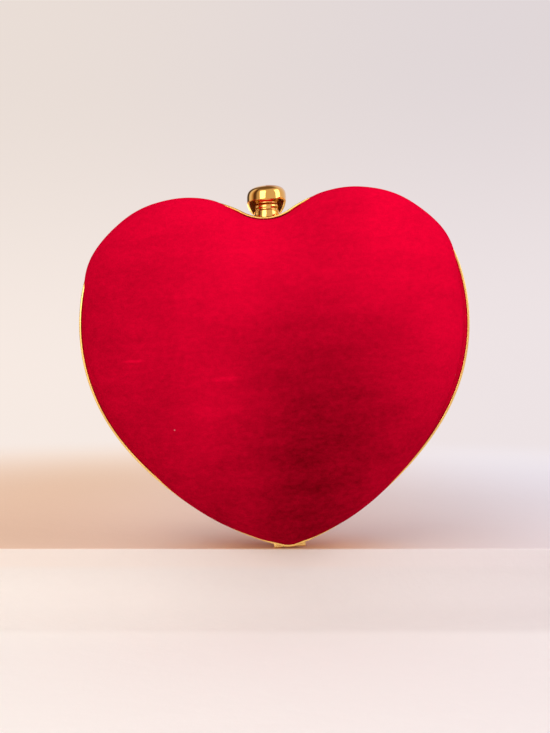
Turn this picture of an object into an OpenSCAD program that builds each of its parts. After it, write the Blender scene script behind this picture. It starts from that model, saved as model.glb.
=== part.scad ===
// Heart shaped box clutch: two padded velvet halves in metal frames, hinged at the tip,
// closed by a hood that tilts back off a post in the dip between the lobes.
// X runs across the heart, +Z is up and the front faces -Y. The halves meet at Y = 0.

/* [Heart outline] */
// Overall width across the frames
heart_w = 165.5; // [140:1:190]
// Height of the frames from the tip to the tops of the lobes
heart_h = 150; // [135:0.5:170]
// Radius of each lobe
lobe_r = 47.2; // [40:0.1:53]
// Radius of each side below its lobe
side_r = 80; // [70:1:95]
// Radius of the rounded tip
tip_r = 10.5; // [9:0.5:14]
// Radius of the dip between the lobes
dip_r = 19; // [16:0.5:26]
// Angle above level at which a lobe runs into its side
lobe_angle = 14.6; // [9:0.1:22]
// Angle below level at which a side runs into its flank
flank_angle = 30.6; // [25:0.1:37]
// Angle below level at which the tip runs into each flank
tip_angle = 74.6; // [69:0.1:78]

/* [Halves] */
// Depth of each half from the seam to the crown of its face
half_d = 25; // [20:0.5:34]
// Gap between the two frames at the seam
seam_gap = 0.3; // [0.2:0.05:0.6]
// Power of the pillow curve, higher for a flatter face with a tighter shoulder
pillow_power = 4; // [3:0.1:5]
// Height above the tip of the point that the face crowns towards
crown_h = 84; // [70:1:95]
// How far the padded wall swells out over its seat in the frame
wall_swell = 0.75; // [0.3:0.05:1.2]
// How much further in the wall sits along the sides than along the lobes
side_tuck = 1.85; // [0:0.05:3]

/* [Frames] */
// Depth of one frame band
band_d = 5.5; // [5.2:0.1:8]
// Wall of the band
band_wall = 1.1; // [0.8:0.1:1.6]
// How far the bead along the seam stands out from the band
bead_out = 0.5; // [0.3:0.1:0.9]
// Depth of the bead
bead_d = 1.35; // [0.9:0.05:1.5]

/* [Covers] */
// Thickness of the velvet with its backing
velvet_t = 0.7; // [0.5:0.1:1.2]
// Thickness of the foam padding
padding_t = 1.5; // [1:0.1:2.5]
// Wall of the moulded shell
shell_t = 1.4; // [1:0.1:2]
// Thickness of the satin lining
lining_t = 0.5; // [0.4:0.1:0.9]
// Glue line between two layers
glue_gap = 0.15; // [0.1:0.05:0.25]

/* [Hinge] */
// Outer radius of the hinge barrel
barrel_r = 1.7; // [1.5:0.1:2.4]
// Length of the hinge barrel
barrel_l = 13.4; // [12:0.1:20]
// Length of the middle knuckle, which the front leaf carries
knuckle_l = 5.2; // [4:0.1:6]
// Gap between two knuckles
knuckle_gap = 0.3; // [0.2:0.05:0.5]
// Radius of the hinge pin
hinge_pin_r = 0.75; // [0.6:0.05:0.9]
// How far the barrel stands below the tip of the frames
barrel_drop = 0.6; // [0.4:0.1:1.4]
// Thickness of the leaves and of the clasp bracket plate
leaf_t = 0.8; // [0.6:0.1:1]
// Distance of each leaf rivet from the middle
leaf_rivet_x = 4.7; // [4.2:0.1:5.2]

/* [Clasp] */
// Largest diameter of the hood
hood_w = 16.4; // [15.8:0.1:18]
// Height of the hood's widest line above the dip
hood_belt_h = 7.6; // [7.2:0.1:8.6]
// Height of the hood's crown above its widest line
hood_crown = 5.3; // [4.8:0.1:6.5]
// Drop over which the hood's lower curve would close
hood_taper = 8.9; // [8.4:0.1:11]
// Wall of the hood
hood_wall = 1; // [0.8:0.1:1.2]
// Height of the hood's foot above the dip
hood_foot_h = 1.5; // [1.4:0.05:1.7]
// Height of the hood's front lip above the dip
hood_lip_h = 6.6; // [6.2:0.1:7.2]
// How far the hood tilts back
hood_tilt = 25; // [15:1:28]
// Radius of the bead round the foot of the post
post_bead_r = 5.6; // [5:0.1:5.8]
// Radius of the waist of the post
post_waist_r = 4.7; // [4:0.1:5]
// Height of the bead's widest line above the dip
post_bead_h = 1.5; // [1.2:0.1:1.8]
// Height of the waist above the dip
post_waist_h = 4.2; // [3.8:0.1:4.5]
// Height of the post above the dip
post_h = 8.4; // [7.8:0.1:8.8]
// Play between the head of the post and the hood
catch_play = 0.7; // [0.6:0.1:1]
// Radius of the hood's pivot pin
pivot_pin_r = 0.7; // [0.5:0.05:0.8]
// Outer radius of the pivot barrel and of the bracket ears
pivot_r = 1.3; // [1.2:0.05:1.4]
// Distance of the pivot behind the seam
pivot_y = 2.7; // [2.6:0.05:2.9]
// Height of the pivot above the dip
pivot_h = 2; // [1.9:0.05:2.2]
// Wire diameter of the clasp spring
spring_wire = 0.4; // [0.3:0.05:0.45]
// Turns of the clasp spring
spring_turns = 3; // [2:1:3]

/* [Strap eyes] */
// Angle above level, seen from the centre of a lobe, at which its strap eye sits
eye_angle = 52; // [35:1:65]
// Radius of the hole in each strap eye
eye_hole_r = 1.6; // [1.2:0.1:2]
// Thickness of the tab of each strap eye
eye_tab_t = 1.2; // [1:0.1:1.6]
// Reach of each strap eye from the frame to the middle of its hole
eye_reach = 6.5; // [6:0.1:8]

/* [Fasteners] */
// Radius of a rivet shank
rivet_r = 0.75; // [0.5:0.05:0.9]
// Radius of a rivet head
rivet_head_r = 1.2; // [1:0.05:1.3]
// Height of a rivet head
rivet_head_h = 0.4; // [0.3:0.05:0.5]
// Radius of the post screw's shank
screw_r = 1; // [0.8:0.05:1.2]
// Radius of the post screw's head
screw_head_r = 1.9; // [1.6:0.1:2.1]
// Height of the post screw's head
screw_head_h = 1; // [0.8:0.1:1.4]

/* [Hidden] */
$fn = 48;

// Clearance of a pin in its hole, and of a metal part on its seat
fit_clear = 0.05;
// Clearance between parts that move past each other
run_clear = 0.3;
// How far a cut runs past the face that it opens
overrun = 1;

// Outline: centres of the arcs, from the tip up the right side to the dip
tip_z = barrel_drop;
tip_c = [0, tip_z + tip_r];
lobe_c = [heart_w / 2 - side_r + (side_r - lobe_r) * cos(lobe_angle), tip_z + heart_h - lobe_r];
side_c = lobe_c - (side_r - lobe_r) * [cos(lobe_angle), sin(lobe_angle)];
dip_c = [0, lobe_c[1] + sqrt(pow(dip_r + lobe_r, 2) - pow(lobe_c[0], 2))];
dip_z = dip_c[1] - dip_r;
// The flank bends evenly from the tip's end to the side's end and carries on both their directions
flank_start = tip_c + tip_r * [cos(tip_angle), -sin(tip_angle)];
flank_end = side_c + side_r * [cos(flank_angle), -sin(flank_angle)];
flank_pull_share = 0.308;
flank_pull = flank_pull_share * norm(flank_end - flank_start);
flank_bend = [
    flank_start,
    flank_start + flank_pull * [sin(tip_angle), cos(tip_angle)],
    flank_end - flank_pull * [sin(flank_angle), cos(flank_angle)],
    flank_end
];
// Angle at which a lobe's arc runs into the dip's
dip_join = atan2(lobe_c[1] - dip_c[1], lobe_c[0] - dip_c[0]);

// Straight steps per arc on the padded skins, and how many times finer the frames are
tip_steps = 2;
flank_steps = 6;
side_steps = 6;
lobe_steps = 10;
dip_steps = 3;
frame_fine = 3;
// Degrees between two rings of a skin round its shoulder
ring_step = 15;

// How much of the side tuck the walls take at the dip and at the tip
dip_tuck_share = 0.75;
tip_tuck_share = 0.36;
// Shares of an arc's length over which the tuck comes and goes
lobe_fade_share = 0.5;
dip_fade_share = 0.85;
flank_fade_share = 0.4;
tip_fade_share = 0.15;

// Seat of the covers inside the band
band_in = bead_out + band_wall;
seat_in = band_in + glue_gap;
frame_front_d = seam_gap / 2 + band_d;
// Depth of the cut edges of velvet and shell, and of the lining turned over them
edge_d = 1.1;
lining_edge_d = 0.5;
// Depth over which the padded wall swells out past the frame
swell_d = 1.2;

// Hinge
axis_z = barrel_r;
leaf_w = barrel_l - 2 * fit_clear;
notch_w = barrel_l + 2 * run_clear;
notch_d = barrel_r + run_clear;
leaf_end_d = seam_gap / 2 + band_d - run_clear;
// Clear height that the barrel and its webs need above the tip
notch_h = 6;
leaf_web_h = 2.6;
// Room left round the leaves and the clasp plate in the covers
cover_margin = 1.1;
cover_cut = 9;

// Clasp
hood_power = 2.75;
bracket_w = 17.6;
bracket_start_d = 0.5;
clasp_rivet_x = 6.9;
ear_gap = 5.4;
ear_t = 0.9;
lever_t = 1.4;
lever_barrel_l = 2.6;
spring_leg = 2.2;
spring_sides = 6;
spring_curl_rings = 8;
screw_y = 2.9;
screw_in_post = 4;
post_foot = 2;
post_ledge = 0.1;
profile_steps = 12;

// Strap eyes
eye_plate_l = 12;
eye_plate_t = 0.8;
eye_plate_start_d = 0.9;
eye_plate_d = 4;
eye_tab_w = 5.6;
eye_rivet_at = 4.4;
eye_margin = 1;
eye_cut = 6;

// Smooth rise from 0 at share a to 1 at share b
function ramp(f, a, b) = let (t = max(0, min(1, (f - a) / (b - a)))) t * t * (3 - 2 * t);

// Points on one arc of the outline, set in by inset and by tuck times the weight there
function arc(c, r, a0, a1, n, inset, tuck, weights) = [
    for (k = [0:n - 1])
        let (a = a0 + (a1 - a0) * k / n)
        c + (r - inset - tuck * weights[k]) * [cos(a), sin(a)]
];

// Points on the flank, set in square to it in the same way
function flank(n, inset, tuck, weights) = [
    for (k = [0:n - 1])
        let (
            t = k / n,
            b = flank_bend,
            at = pow(1 - t, 3) * b[0] + 3 * pow(1 - t, 2) * t * b[1]
                + 3 * (1 - t) * pow(t, 2) * b[2] + pow(t, 3) * b[3],
            along = pow(1 - t, 2) * (b[1] - b[0]) + 2 * (1 - t) * t * (b[2] - b[1])
                + pow(t, 2) * (b[3] - b[2])
        )
        at + (inset + tuck * weights[k]) * [-along[1], along[0]] / norm(along)
];

function tip_weights(n) = [for (k = [0:n - 1]) tip_tuck_share];
function flank_weights(n) = [
    for (k = [0:n - 1])
        tip_tuck_share * (1 - ramp(k / n, 0, tip_fade_share)) + ramp(k / n, flank_fade_share, 1)
];
function side_weights(n) = [for (k = [0:n - 1]) 1];
function lobe_weights(n) = [
    for (k = [0:n - 1])
        1 - ramp(k / n, 0, lobe_fade_share) + dip_tuck_share * ramp(k / n, dip_fade_share, 1)
];
// The dip is hollow, so its radius grows as the outline is set in
function dip_weights(n) = [for (k = [0:n]) dip_tuck_share];

// Right half of the outline, from the tip to the dip
function half_outline(inset, tuck, fine) = concat(
    arc(tip_c, tip_r, -90, -tip_angle, tip_steps * fine, inset, tuck, tip_weights(tip_steps * fine)),
    flank(flank_steps * fine, inset, tuck, flank_weights(flank_steps * fine)),
    arc(side_c, side_r, -flank_angle, lobe_angle, side_steps * fine, inset, tuck,
        side_weights(side_steps * fine)),
    arc(lobe_c, lobe_r, lobe_angle, dip_join + 180, lobe_steps * fine, inset, tuck,
        lobe_weights(lobe_steps * fine)),
    arc(dip_c, dip_r, dip_join, -90, dip_steps * fine, -inset, -tuck, dip_weights(dip_steps * fine)),
    [dip_c - [0, dip_r + inset + tuck * dip_tuck_share]]
);

// Whole outline, counter-clockwise seen from the front
function outline(inset, tuck = 0, fine = frame_fine) =
    let (right = half_outline(inset, tuck, fine), n = len(right))
    concat(right, [for (k = [n - 2:-1:1]) [-right[k][0], right[k][1]]]);

// One ring of a skin: the outline drawn in towards the crown by a share, at its depth
function ring(inset, tuck, shrink_share, depth) = [
    for (p = outline(inset, tuck, 1))
        [p[0] * (1 - shrink_share), -depth, crown_h + (p[1] - crown_h) * (1 - shrink_share)]
];

// Rings from a skin's seat up its wall and over its shoulder, and the crown point. The last
// ring is as deep as the crown, so the middle of each face is flat and the purse can lie on it.
// seat_drop and wall_drop say how far the surface lies under the face of the velvet.
function dome_rings(seat_drop, wall_drop) =
    let (base_d = frame_front_d + swell_d, rise = half_d - base_d - wall_drop)
    let (wall_in = seat_in - wall_swell + wall_drop, last = 90 - ring_step)
    concat(
        seat_drop < 0 ? [] : [ring(seat_in + seat_drop, 0, 0, frame_front_d)],
        [ring(wall_in, side_tuck, 0, base_d)],
        [for (t = [ring_step:ring_step:last])
            ring(wall_in, side_tuck, 1 - pow(cos(t), 2 / pillow_power),
                base_d + rise * (t < last ? pow(sin(t), 2 / pillow_power) : 1))]
    );
function crown_point(wall_drop) = [0, -(half_d - wall_drop), crown_h];

// Closed solid between two stacks of rings, each ending in its crown point
module skin(outer, inner, outer_tip, inner_tip) {
    n = len(outer[0]);
    a = len(outer);
    b = len(inner);
    rings = concat(outer, inner);
    points = concat([for (r = rings) for (p = r) p], [outer_tip, inner_tip]);
    function at(r, k) = r * n + k % n;
    wall = [for (r = [0:a - 2]) for (k = [0:n - 1]) each [
        [at(r, k), at(r + 1, k), at(r + 1, k + 1)], [at(r, k), at(r + 1, k + 1), at(r, k + 1)]]];
    back = [for (r = [a:a + b - 2]) for (k = [0:n - 1]) each [
        [at(r, k), at(r + 1, k + 1), at(r + 1, k)], [at(r, k), at(r, k + 1), at(r + 1, k + 1)]]];
    edge = [for (k = [0:n - 1]) each [
        [at(0, k), at(a, k + 1), at(a, k)], [at(0, k), at(0, k + 1), at(a, k + 1)]]];
    caps = [for (k = [0:n - 1]) each [
        [at(a - 1, k), (a + b) * n, at(a - 1, k + 1)],
        [at(a + b - 1, k), at(a + b - 1, k + 1), (a + b) * n + 1]]];
    polyhedron(points, concat(wall, back, edge, caps));
}

// A half is drawn as the front one and mirrored for the back one
module half(back) {
    if (back) {
        mirror([0, 1, 0]) children();
    } else {
        children();
    }
}

// Plate of the outline between two insets and two depths
module slab(inset, inner, d0, d1) {
    translate([0, -d0, 0])
        rotate([90, 0, 0])
            linear_extrude(d1 - d0)
                difference() {
                    polygon(outline(inset));
                    polygon(outline(inner));
                }
}

// Strip that lies on the inside of the band, no wider than w, above or below height z
module seat_strip(w, z0, z1, d0, d1) {
    translate([0, -d0, 0])
        rotate([90, 0, 0])
            linear_extrude(d1 - d0)
                intersection() {
                    difference() {
                        polygon(outline(band_in + fit_clear));
                        polygon(outline(band_in + fit_clear + leaf_t));
                    }
                    translate([-w / 2, z0])
                        square([w, z1 - z0]);
                }
}

// Box given by its lowest and highest corners
module box(low, high) {
    translate(low)
        cube(high - low);
}

module pin_x(r, x0, x1, y, z) {
    translate([x0, y, z])
        rotate([0, 90, 0])
            cylinder(r = r, h = x1 - x0);
}

// Puts a radial line of an arc along +X, with the arc's centre at the origin
module radial(c, a, y) {
    translate([c[0], y, c[1]])
        rotate([0, -a, 0])
            children();
}

// Rivet along +X through metal that lies between two radii
module rivet(r0, r1) {
    rotate([0, 90, 0]) {
        translate([0, 0, r0 - fit_clear - rivet_head_h])
            cylinder(r = rivet_head_r, h = rivet_head_h);
        translate([0, 0, r0 - fit_clear - rivet_head_h / 2])
            cylinder(r = rivet_r, h = r1 - r0 + 2 * fit_clear + rivet_head_h);
        translate([0, 0, r1 + fit_clear])
            cylinder(r = rivet_head_r, h = rivet_head_h);
    }
}

module rivet_hole(r0, r1) {
    rotate([0, 90, 0])
        translate([0, 0, r0 - overrun])
            cylinder(r = rivet_r + fit_clear, h = r1 - r0 + 2 * overrun);
}

// Where the hinge rivets lie: square to the step of the outline that passes their distance
leaf_line = half_outline(0, 0, frame_fine);
leaf_step = [for (k = [1:len(leaf_line) - 1]) if (leaf_line[k][0] > leaf_rivet_x) k][0];
leaf_from = leaf_line[leaf_step - 1];
leaf_run = leaf_line[leaf_step] - leaf_from;
leaf_rivet_a = atan2(leaf_run[1], leaf_run[0]) - 90;
leaf_rivet_at = leaf_from + leaf_run * (leaf_rivet_x - leaf_from[0]) / leaf_run[0];
leaf_rivet_c = leaf_rivet_at - tip_r * [cos(leaf_rivet_a), sin(leaf_rivet_a)];
leaf_rivet_d = leaf_end_d - rivet_head_r - fit_clear;

module each_leaf_rivet() {
    for (s = [0, 1])
        mirror([s, 0, 0])
            radial(leaf_rivet_c, leaf_rivet_a, -leaf_rivet_d)
                children();
}

clasp_rivet_a = asin(clasp_rivet_x / dip_r);
clasp_rivet_d = seam_gap / 2 + band_d / 2;

module each_clasp_rivet() {
    for (s = [-1, 1])
        radial(dip_c, -90 + s * clasp_rivet_a, -clasp_rivet_d)
            children();
}

// Flat plates of the strap eyes bridge the curve of the band
eye_seat_r = lobe_r - band_in - fit_clear;
eye_plate_r = sqrt(pow(eye_seat_r, 2) - pow(eye_plate_l / 2, 2));
eye_mid_d = eye_plate_start_d + eye_plate_d / 2;

module eye_frame(left) {
    mirror([left ? 1 : 0, 0, 0])
        radial(lobe_c, eye_angle, 0)
            children();
}

module each_eye_rivet(left) {
    eye_frame(left)
        for (s = [-1, 1])
            translate([0, eye_mid_d, s * eye_rivet_at])
                children();
}

// Room in velvet, shell and lining for the leaves, the clasp plate and the strap eyes
module cover_cuts(back) {
    cut_d = frame_front_d + run_clear;
    box([-leaf_w / 2 - cover_margin, -cut_d, -overrun],
        [leaf_w / 2 + cover_margin, overrun, tip_z + cover_cut]);
    box([-bracket_w / 2 - cover_margin, -cut_d, dip_z - cover_cut],
        [bracket_w / 2 + cover_margin, overrun, tip_z + heart_h]);
    if (back)
        for (left = [false, true])
            eye_frame(left)
                box([eye_seat_r - eye_cut, -cut_d, -eye_plate_l / 2 - eye_margin],
                    [lobe_r, overrun, eye_plate_l / 2 + eye_margin]);
}

module frame(back) {
    half(back)
        difference() {
            union() {
                slab(0, band_in, seam_gap / 2, seam_gap / 2 + bead_d);
                slab(bead_out, band_in, seam_gap / 2 + bead_d, frame_front_d);
            }
            box([-notch_w / 2, -notch_d, -overrun], [notch_w / 2, overrun, notch_h]);
            each_leaf_rivet()
                rivet_hole(tip_r - band_in, tip_r);
            if (back) {
                each_clasp_rivet()
                    rivet_hole(dip_r, dip_r + band_in);
                for (s = [-1, 1])
                    translate([s * (ear_gap + ear_t) / 2, -pivot_y, dip_z - band_in])
                        cube([ear_t + 2 * fit_clear, 2 * (pivot_r + fit_clear), 2 * (band_in + overrun)],
                            center = true);
                for (left = [false, true])
                    mirror([0, 1, 0])
                        each_eye_rivet(left)
                            rivet_hole(lobe_r - band_in, lobe_r);
            } else {
                translate([0, -screw_y, dip_z - band_in - overrun])
                    cylinder(r = screw_r + fit_clear, h = band_in + 2 * overrun);
            }
        }
}

// Where each layer lies under the face of the velvet, in its seat and on the wall
shell_seat_drop = velvet_t + glue_gap;
lining_seat_drop = shell_seat_drop + shell_t + glue_gap;
padding_drop = velvet_t + glue_gap;
shell_drop = padding_drop + padding_t + glue_gap;
lining_drop = shell_drop + shell_t + glue_gap;

// Skin whose skirt runs down inside the band to its cut edge
module skirted_skin(seat0, seat1, wall0, wall1, depth) {
    skin(
        concat([ring(seat_in + seat0, 0, 0, depth)], dome_rings(seat0, wall0)),
        concat([ring(seat_in + seat1, 0, 0, depth)], dome_rings(seat1, wall1)),
        crown_point(wall0), crown_point(wall1)
    );
}

module velvet(back) {
    half(back)
        difference() {
            skirted_skin(0, velvet_t, 0, velvet_t, edge_d);
            cover_cuts(back);
        }
}

module padding(back) {
    half(back)
        skin(
            dome_rings(-1, padding_drop), dome_rings(-1, padding_drop + padding_t),
            crown_point(padding_drop), crown_point(padding_drop + padding_t)
        );
}

module shell(back) {
    half(back)
        difference() {
            skirted_skin(shell_seat_drop, shell_seat_drop + shell_t, shell_drop, shell_drop + shell_t, edge_d);
            cover_cuts(back);
        }
}

// The lining is turned outwards over the edges of the velvet and the shell
module lining(back) {
    flange_d = edge_d - glue_gap;
    half(back)
        difference() {
            skin(
                concat(
                    [ring(seat_in, 0, 0, lining_edge_d), ring(seat_in, 0, 0, flange_d),
                        ring(seat_in + lining_seat_drop, 0, 0, flange_d)],
                    dome_rings(lining_seat_drop, lining_drop)
                ),
                concat(
                    [ring(seat_in + lining_seat_drop + lining_t, 0, 0, lining_edge_d)],
                    dome_rings(lining_seat_drop + lining_t, lining_drop + lining_t)
                ),
                crown_point(lining_drop), crown_point(lining_drop + lining_t)
            );
            cover_cuts(back);
        }
}

// One leaf: its knuckles, the webs that join them to the plate, and the plate on the band
module hinge_leaf(back) {
    outer_x0 = knuckle_l / 2 + knuckle_gap;
    spans = back
        ? [[-barrel_l / 2, -outer_x0], [outer_x0, barrel_l / 2]]
        : [[-knuckle_l / 2, knuckle_l / 2]];
    start_d = notch_d + run_clear;
    web_end_d = leaf_rivet_d - rivet_head_r - fit_clear;
    half(back)
        difference() {
            union() {
                for (x = spans) {
                    pin_x(barrel_r, x[0], x[1], 0, axis_z);
                    box([max(x[0], -leaf_w / 2), -web_end_d, axis_z],
                        [min(x[1], leaf_w / 2), 0, axis_z + leaf_web_h]);
                }
                seat_strip(leaf_w, -overrun, tip_z + tip_r, start_d, leaf_end_d);
            }
            slab(-barrel_l / 2, band_in + fit_clear, notch_d - fit_clear, frame_front_d);
            pin_x(hinge_pin_r + fit_clear, -barrel_l, barrel_l, 0, axis_z);
            each_leaf_rivet()
                rivet_hole(tip_r - band_in - 2 * leaf_t, tip_r);
        }
}

module hinge_rivets(back) {
    half(back)
        each_leaf_rivet()
            rivet(tip_r - band_in - fit_clear - leaf_t, tip_r - bead_out);
}

module clasp_bracket_shape() {
    difference() {
        union() {
            half(true)
                seat_strip(bracket_w, dip_z - cover_cut, dip_z + overrun, bracket_start_d, leaf_end_d);
            for (s = [-1, 1])
                translate([s * (ear_gap + ear_t) / 2 - ear_t / 2, pivot_y, dip_z]) {
                    translate([0, -pivot_r, -band_in - leaf_t])
                        cube([ear_t, 2 * pivot_r, band_in + leaf_t + pivot_h]);
                    pin_x(pivot_r, 0, ear_t, 0, pivot_h);
                }
        }
        pin_x(pivot_pin_r + fit_clear, -ear_gap, ear_gap, pivot_y, dip_z + pivot_h);
        half(true)
            each_clasp_rivet()
                rivet_hole(dip_r + band_in, dip_r + band_in + 2 * leaf_t);
    }
}

module strap_eye(left) {
    eye_frame(left)
        difference() {
            union() {
                box([eye_plate_r - eye_plate_t, eye_plate_start_d, -eye_plate_l / 2],
                    [eye_plate_r, eye_plate_start_d + eye_plate_d, eye_plate_l / 2]);
                box([eye_plate_r - eye_reach, eye_mid_d - eye_tab_t / 2, -eye_tab_w / 2],
                    [eye_plate_r - eye_plate_t / 2, eye_mid_d + eye_tab_t / 2, eye_tab_w / 2]);
                translate([eye_plate_r - eye_reach, eye_mid_d + eye_tab_t / 2, 0])
                    rotate([90, 0, 0])
                        cylinder(d = eye_tab_w, h = eye_tab_t);
            }
            translate([eye_plate_r - eye_reach, eye_mid_d + eye_tab_t, 0])
                rotate([90, 0, 0])
                    cylinder(r = eye_hole_r, h = 2 * eye_tab_t);
            for (s = [-1, 1])
                translate([0, eye_mid_d, s * eye_rivet_at])
                    rivet_hole(eye_plate_r - eye_plate_t, lobe_r);
        }
}

// Hood: a superellipse above its widest line and an ellipse below it
function hood_r(wall, h) =
    let (r = hood_w / 2 - wall)
    h > hood_belt_h
        ? r * pow(max(0, 1 - pow((h - hood_belt_h) / (hood_crown - wall), hood_power)), 1 / hood_power)
        : r * sqrt(1 - pow((hood_belt_h - h) / hood_taper, 2));

// Profile from the foot to the crown, set in by wall
function hood_profile(wall, foot_h) = [
    for (k = [0:profile_steps])
        let (h = foot_h + (hood_belt_h - foot_h) * k / profile_steps)
        [hood_r(wall, h), h],
    for (k = [1:profile_steps])
        let (h = hood_belt_h + (hood_crown - wall) * sin(90 * k / profile_steps))
        [k == profile_steps ? 0 : hood_r(wall, h), h]
];

module hood_solid(wall, foot_h) {
    translate([0, 0, dip_z])
        rotate_extrude()
            polygon(concat([[0, foot_h]], hood_profile(wall, foot_h)));
}

// Wedge behind the pivot that lets the hood and its lever tilt back over the frame
module tilt_relief(foot_h) {
    translate([0, pivot_y, dip_z + foot_h])
        rotate([hood_tilt, 0, 0])
            box([-hood_w, 0, -hood_w], [hood_w, hood_w, 0]);
}

module clasp_hood_shape() {
    difference() {
        hood_solid(0, hood_foot_h);
        hood_solid(hood_wall, hood_foot_h - overrun);
        box([-hood_w, -hood_w, dip_z], [hood_w, run_clear, dip_z + hood_lip_h]);
        tilt_relief(hood_foot_h);
    }
}

// Lever inside the hood: the pivot barrel and a plate that rises to the hood's back wall,
// level when the hood is tilted back, and wider behind the spring that pushes it up
barrel_z = dip_z + pivot_h;
lever_x0 = -ear_gap / 2 + run_clear;
lever_x1 = lever_x0 + lever_barrel_l;
spring_r = max(pivot_pin_r, lever_t / 2) + fit_clear + spring_wire / 2;

module clasp_lever_shape() {
    difference() {
        union() {
            pin_x(pivot_r, lever_x0, lever_x1, pivot_y, barrel_z);
            intersection() {
                hood_solid(hood_wall + fit_clear, 0);
                translate([0, pivot_y, barrel_z])
                    rotate([hood_tilt, 0, 0]) {
                        box([lever_x0, 0, -lever_t / 2], [lever_x1, hood_w, lever_t / 2]);
                        box([lever_x0, spring_r + spring_wire / 2 + run_clear, -lever_t / 2],
                            [ear_gap / 2 - run_clear, hood_w, lever_t / 2]);
                    }
            }
        }
        pin_x(pivot_pin_r + fit_clear, -ear_gap, ear_gap, pivot_y, barrel_z);
    }
}

// Post: a bead and a waist that follow one wave, under a wider rounded head that the hood holds
post_wave = 2 * (post_waist_h - post_bead_h);
post_mean_r = (post_bead_r + post_waist_r) / 2;
post_ledge_h = post_bead_h + post_wave;
post_head_r = hood_w / 2 - hood_wall - catch_play;
function post_r(h) =
    post_mean_r + (post_bead_r - post_mean_r) * cos(360 * (h - post_bead_h) / post_wave);
post_profile = [
    for (k = [0:2 * profile_steps])
        let (h = -post_foot + (post_ledge_h + post_foot) * k / (2 * profile_steps))
        [post_r(max(h, 0)), h],
    for (k = [0:profile_steps])
        let (a = 90 * k / profile_steps)
        [k == profile_steps ? 0 : post_head_r * cos(a),
            post_ledge_h + post_ledge + (post_h - post_ledge_h - post_ledge) * sin(a)]
];

module clasp_post_shape() {
    difference() {
        translate([0, 0, dip_z])
            rotate_extrude()
                polygon(concat([[0, -post_foot]], post_profile));
        box([-post_head_r - overrun, -seam_gap / 2, dip_z - post_foot - overrun],
            [post_head_r + overrun, post_head_r + overrun, dip_z + post_h + overrun]);
        slab(bead_out - fit_clear, lobe_r / 2, -overrun, post_bead_r + overrun);
        slab(-fit_clear, lobe_r / 2, -overrun, seam_gap / 2 + bead_d + fit_clear);
        translate([0, -screw_y, dip_z - post_foot])
            cylinder(r = screw_r + fit_clear, h = post_foot + screw_in_post + fit_clear);
    }
}

module post_screw_shape() {
    translate([0, -screw_y, dip_z - band_in - fit_clear]) {
        translate([0, 0, -screw_head_h])
            cylinder(r = screw_head_r, h = screw_head_h);
        translate([0, 0, -screw_head_h / 2])
            cylinder(r = screw_r, h = screw_head_h / 2 + band_in + fit_clear + screw_in_post);
    }
}

// Spring: a leg under the lever's plate, turns round the pivot pin, and a leg down to the frame
spring_x0 = lever_x1 + run_clear + spring_wire / 2;
spring_x1 = ear_gap / 2 - run_clear - spring_wire / 2;
spring_start_a = hood_tilt - 90;
spring_end_a = -360 * spring_turns;
spring_steps = spring_curl_rings * spring_turns;
function spring_at(share) =
    let (a = spring_start_a + (spring_end_a - spring_start_a) * share)
    [spring_x0 + (spring_x1 - spring_x0) * share, pivot_y + spring_r * cos(a), barrel_z + spring_r * sin(a)];
spring_foot_z = dip_c[1] - sqrt(pow(dip_r + bead_out, 2) - pow(spring_x1, 2)) + fit_clear;
spring_path = concat(
    [spring_at(0) + spring_leg * [0, cos(hood_tilt), sin(hood_tilt)]],
    [for (k = [0:spring_steps]) spring_at(k / spring_steps)],
    [[spring_x1, pivot_y + spring_r, spring_foot_z]]
);

module tube(path, r, sides) {
    n = len(path);
    points = [
        for (k = [0:n - 1])
            let (
                ahead = path[min(k + 1, n - 1)] - path[max(k - 1, 0)],
                t = ahead / norm(ahead),
                u0 = cross(t, [1, 0, 0]),
                u = u0 / norm(u0),
                v = cross(t, u)
            )
            for (j = [0:sides - 1])
                path[k] + r * (u * cos(360 * j / sides) + v * sin(360 * j / sides))
    ];
    walls = [for (k = [0:n - 2]) for (j = [0:sides - 1]) each [
        [k * sides + j, k * sides + (j + 1) % sides, (k + 1) * sides + (j + 1) % sides],
        [k * sides + j, (k + 1) * sides + (j + 1) % sides, (k + 1) * sides + j]]];
    start = [for (j = [1:sides - 2]) [0, j + 1, j]];
    end = [for (j = [1:sides - 2]) [(n - 1) * sides, (n - 1) * sides + j, (n - 1) * sides + j + 1]];
    polyhedron(points, concat(walls, start, end));
}

module back_frame() { color("goldenrod") frame(true); }
module front_frame() { color("goldenrod") frame(false); }
module back_shell() { color("dimgray") shell(true); }
module front_shell() { color("dimgray") shell(false); }
module back_padding() { color("ivory") padding(true); }
module front_padding() { color("ivory") padding(false); }
module back_velvet() { color("crimson") velvet(true); }
module front_velvet() { color("crimson") velvet(false); }
module back_lining() { color("firebrick") lining(true); }
module front_lining() { color("firebrick") lining(false); }
module back_hinge_leaf() { color("gold") hinge_leaf(true); }
module front_hinge_leaf() { color("gold") hinge_leaf(false); }
module back_hinge_rivets() { color("darkgoldenrod") hinge_rivets(true); }
module front_hinge_rivets() { color("darkgoldenrod") hinge_rivets(false); }
module hinge_pin() { color("silver") pin_x(hinge_pin_r, -barrel_l / 2, barrel_l / 2, 0, axis_z); }
module clasp_bracket() { color("gold") clasp_bracket_shape(); }
module clasp_rivets() {
    color("darkgoldenrod")
        half(true)
            each_clasp_rivet()
                rivet(dip_r + bead_out, dip_r + band_in + fit_clear + leaf_t);
}
module clasp_pin() {
    color("silver")
        pin_x(pivot_pin_r, -ear_gap / 2 - ear_t, ear_gap / 2 + ear_t, pivot_y, barrel_z);
}
module clasp_spring() { color("silver") tube(spring_path, spring_wire / 2, spring_sides); }
module left_strap_eye() { color("gold") strap_eye(true); }
module right_strap_eye() { color("gold") strap_eye(false); }
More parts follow.
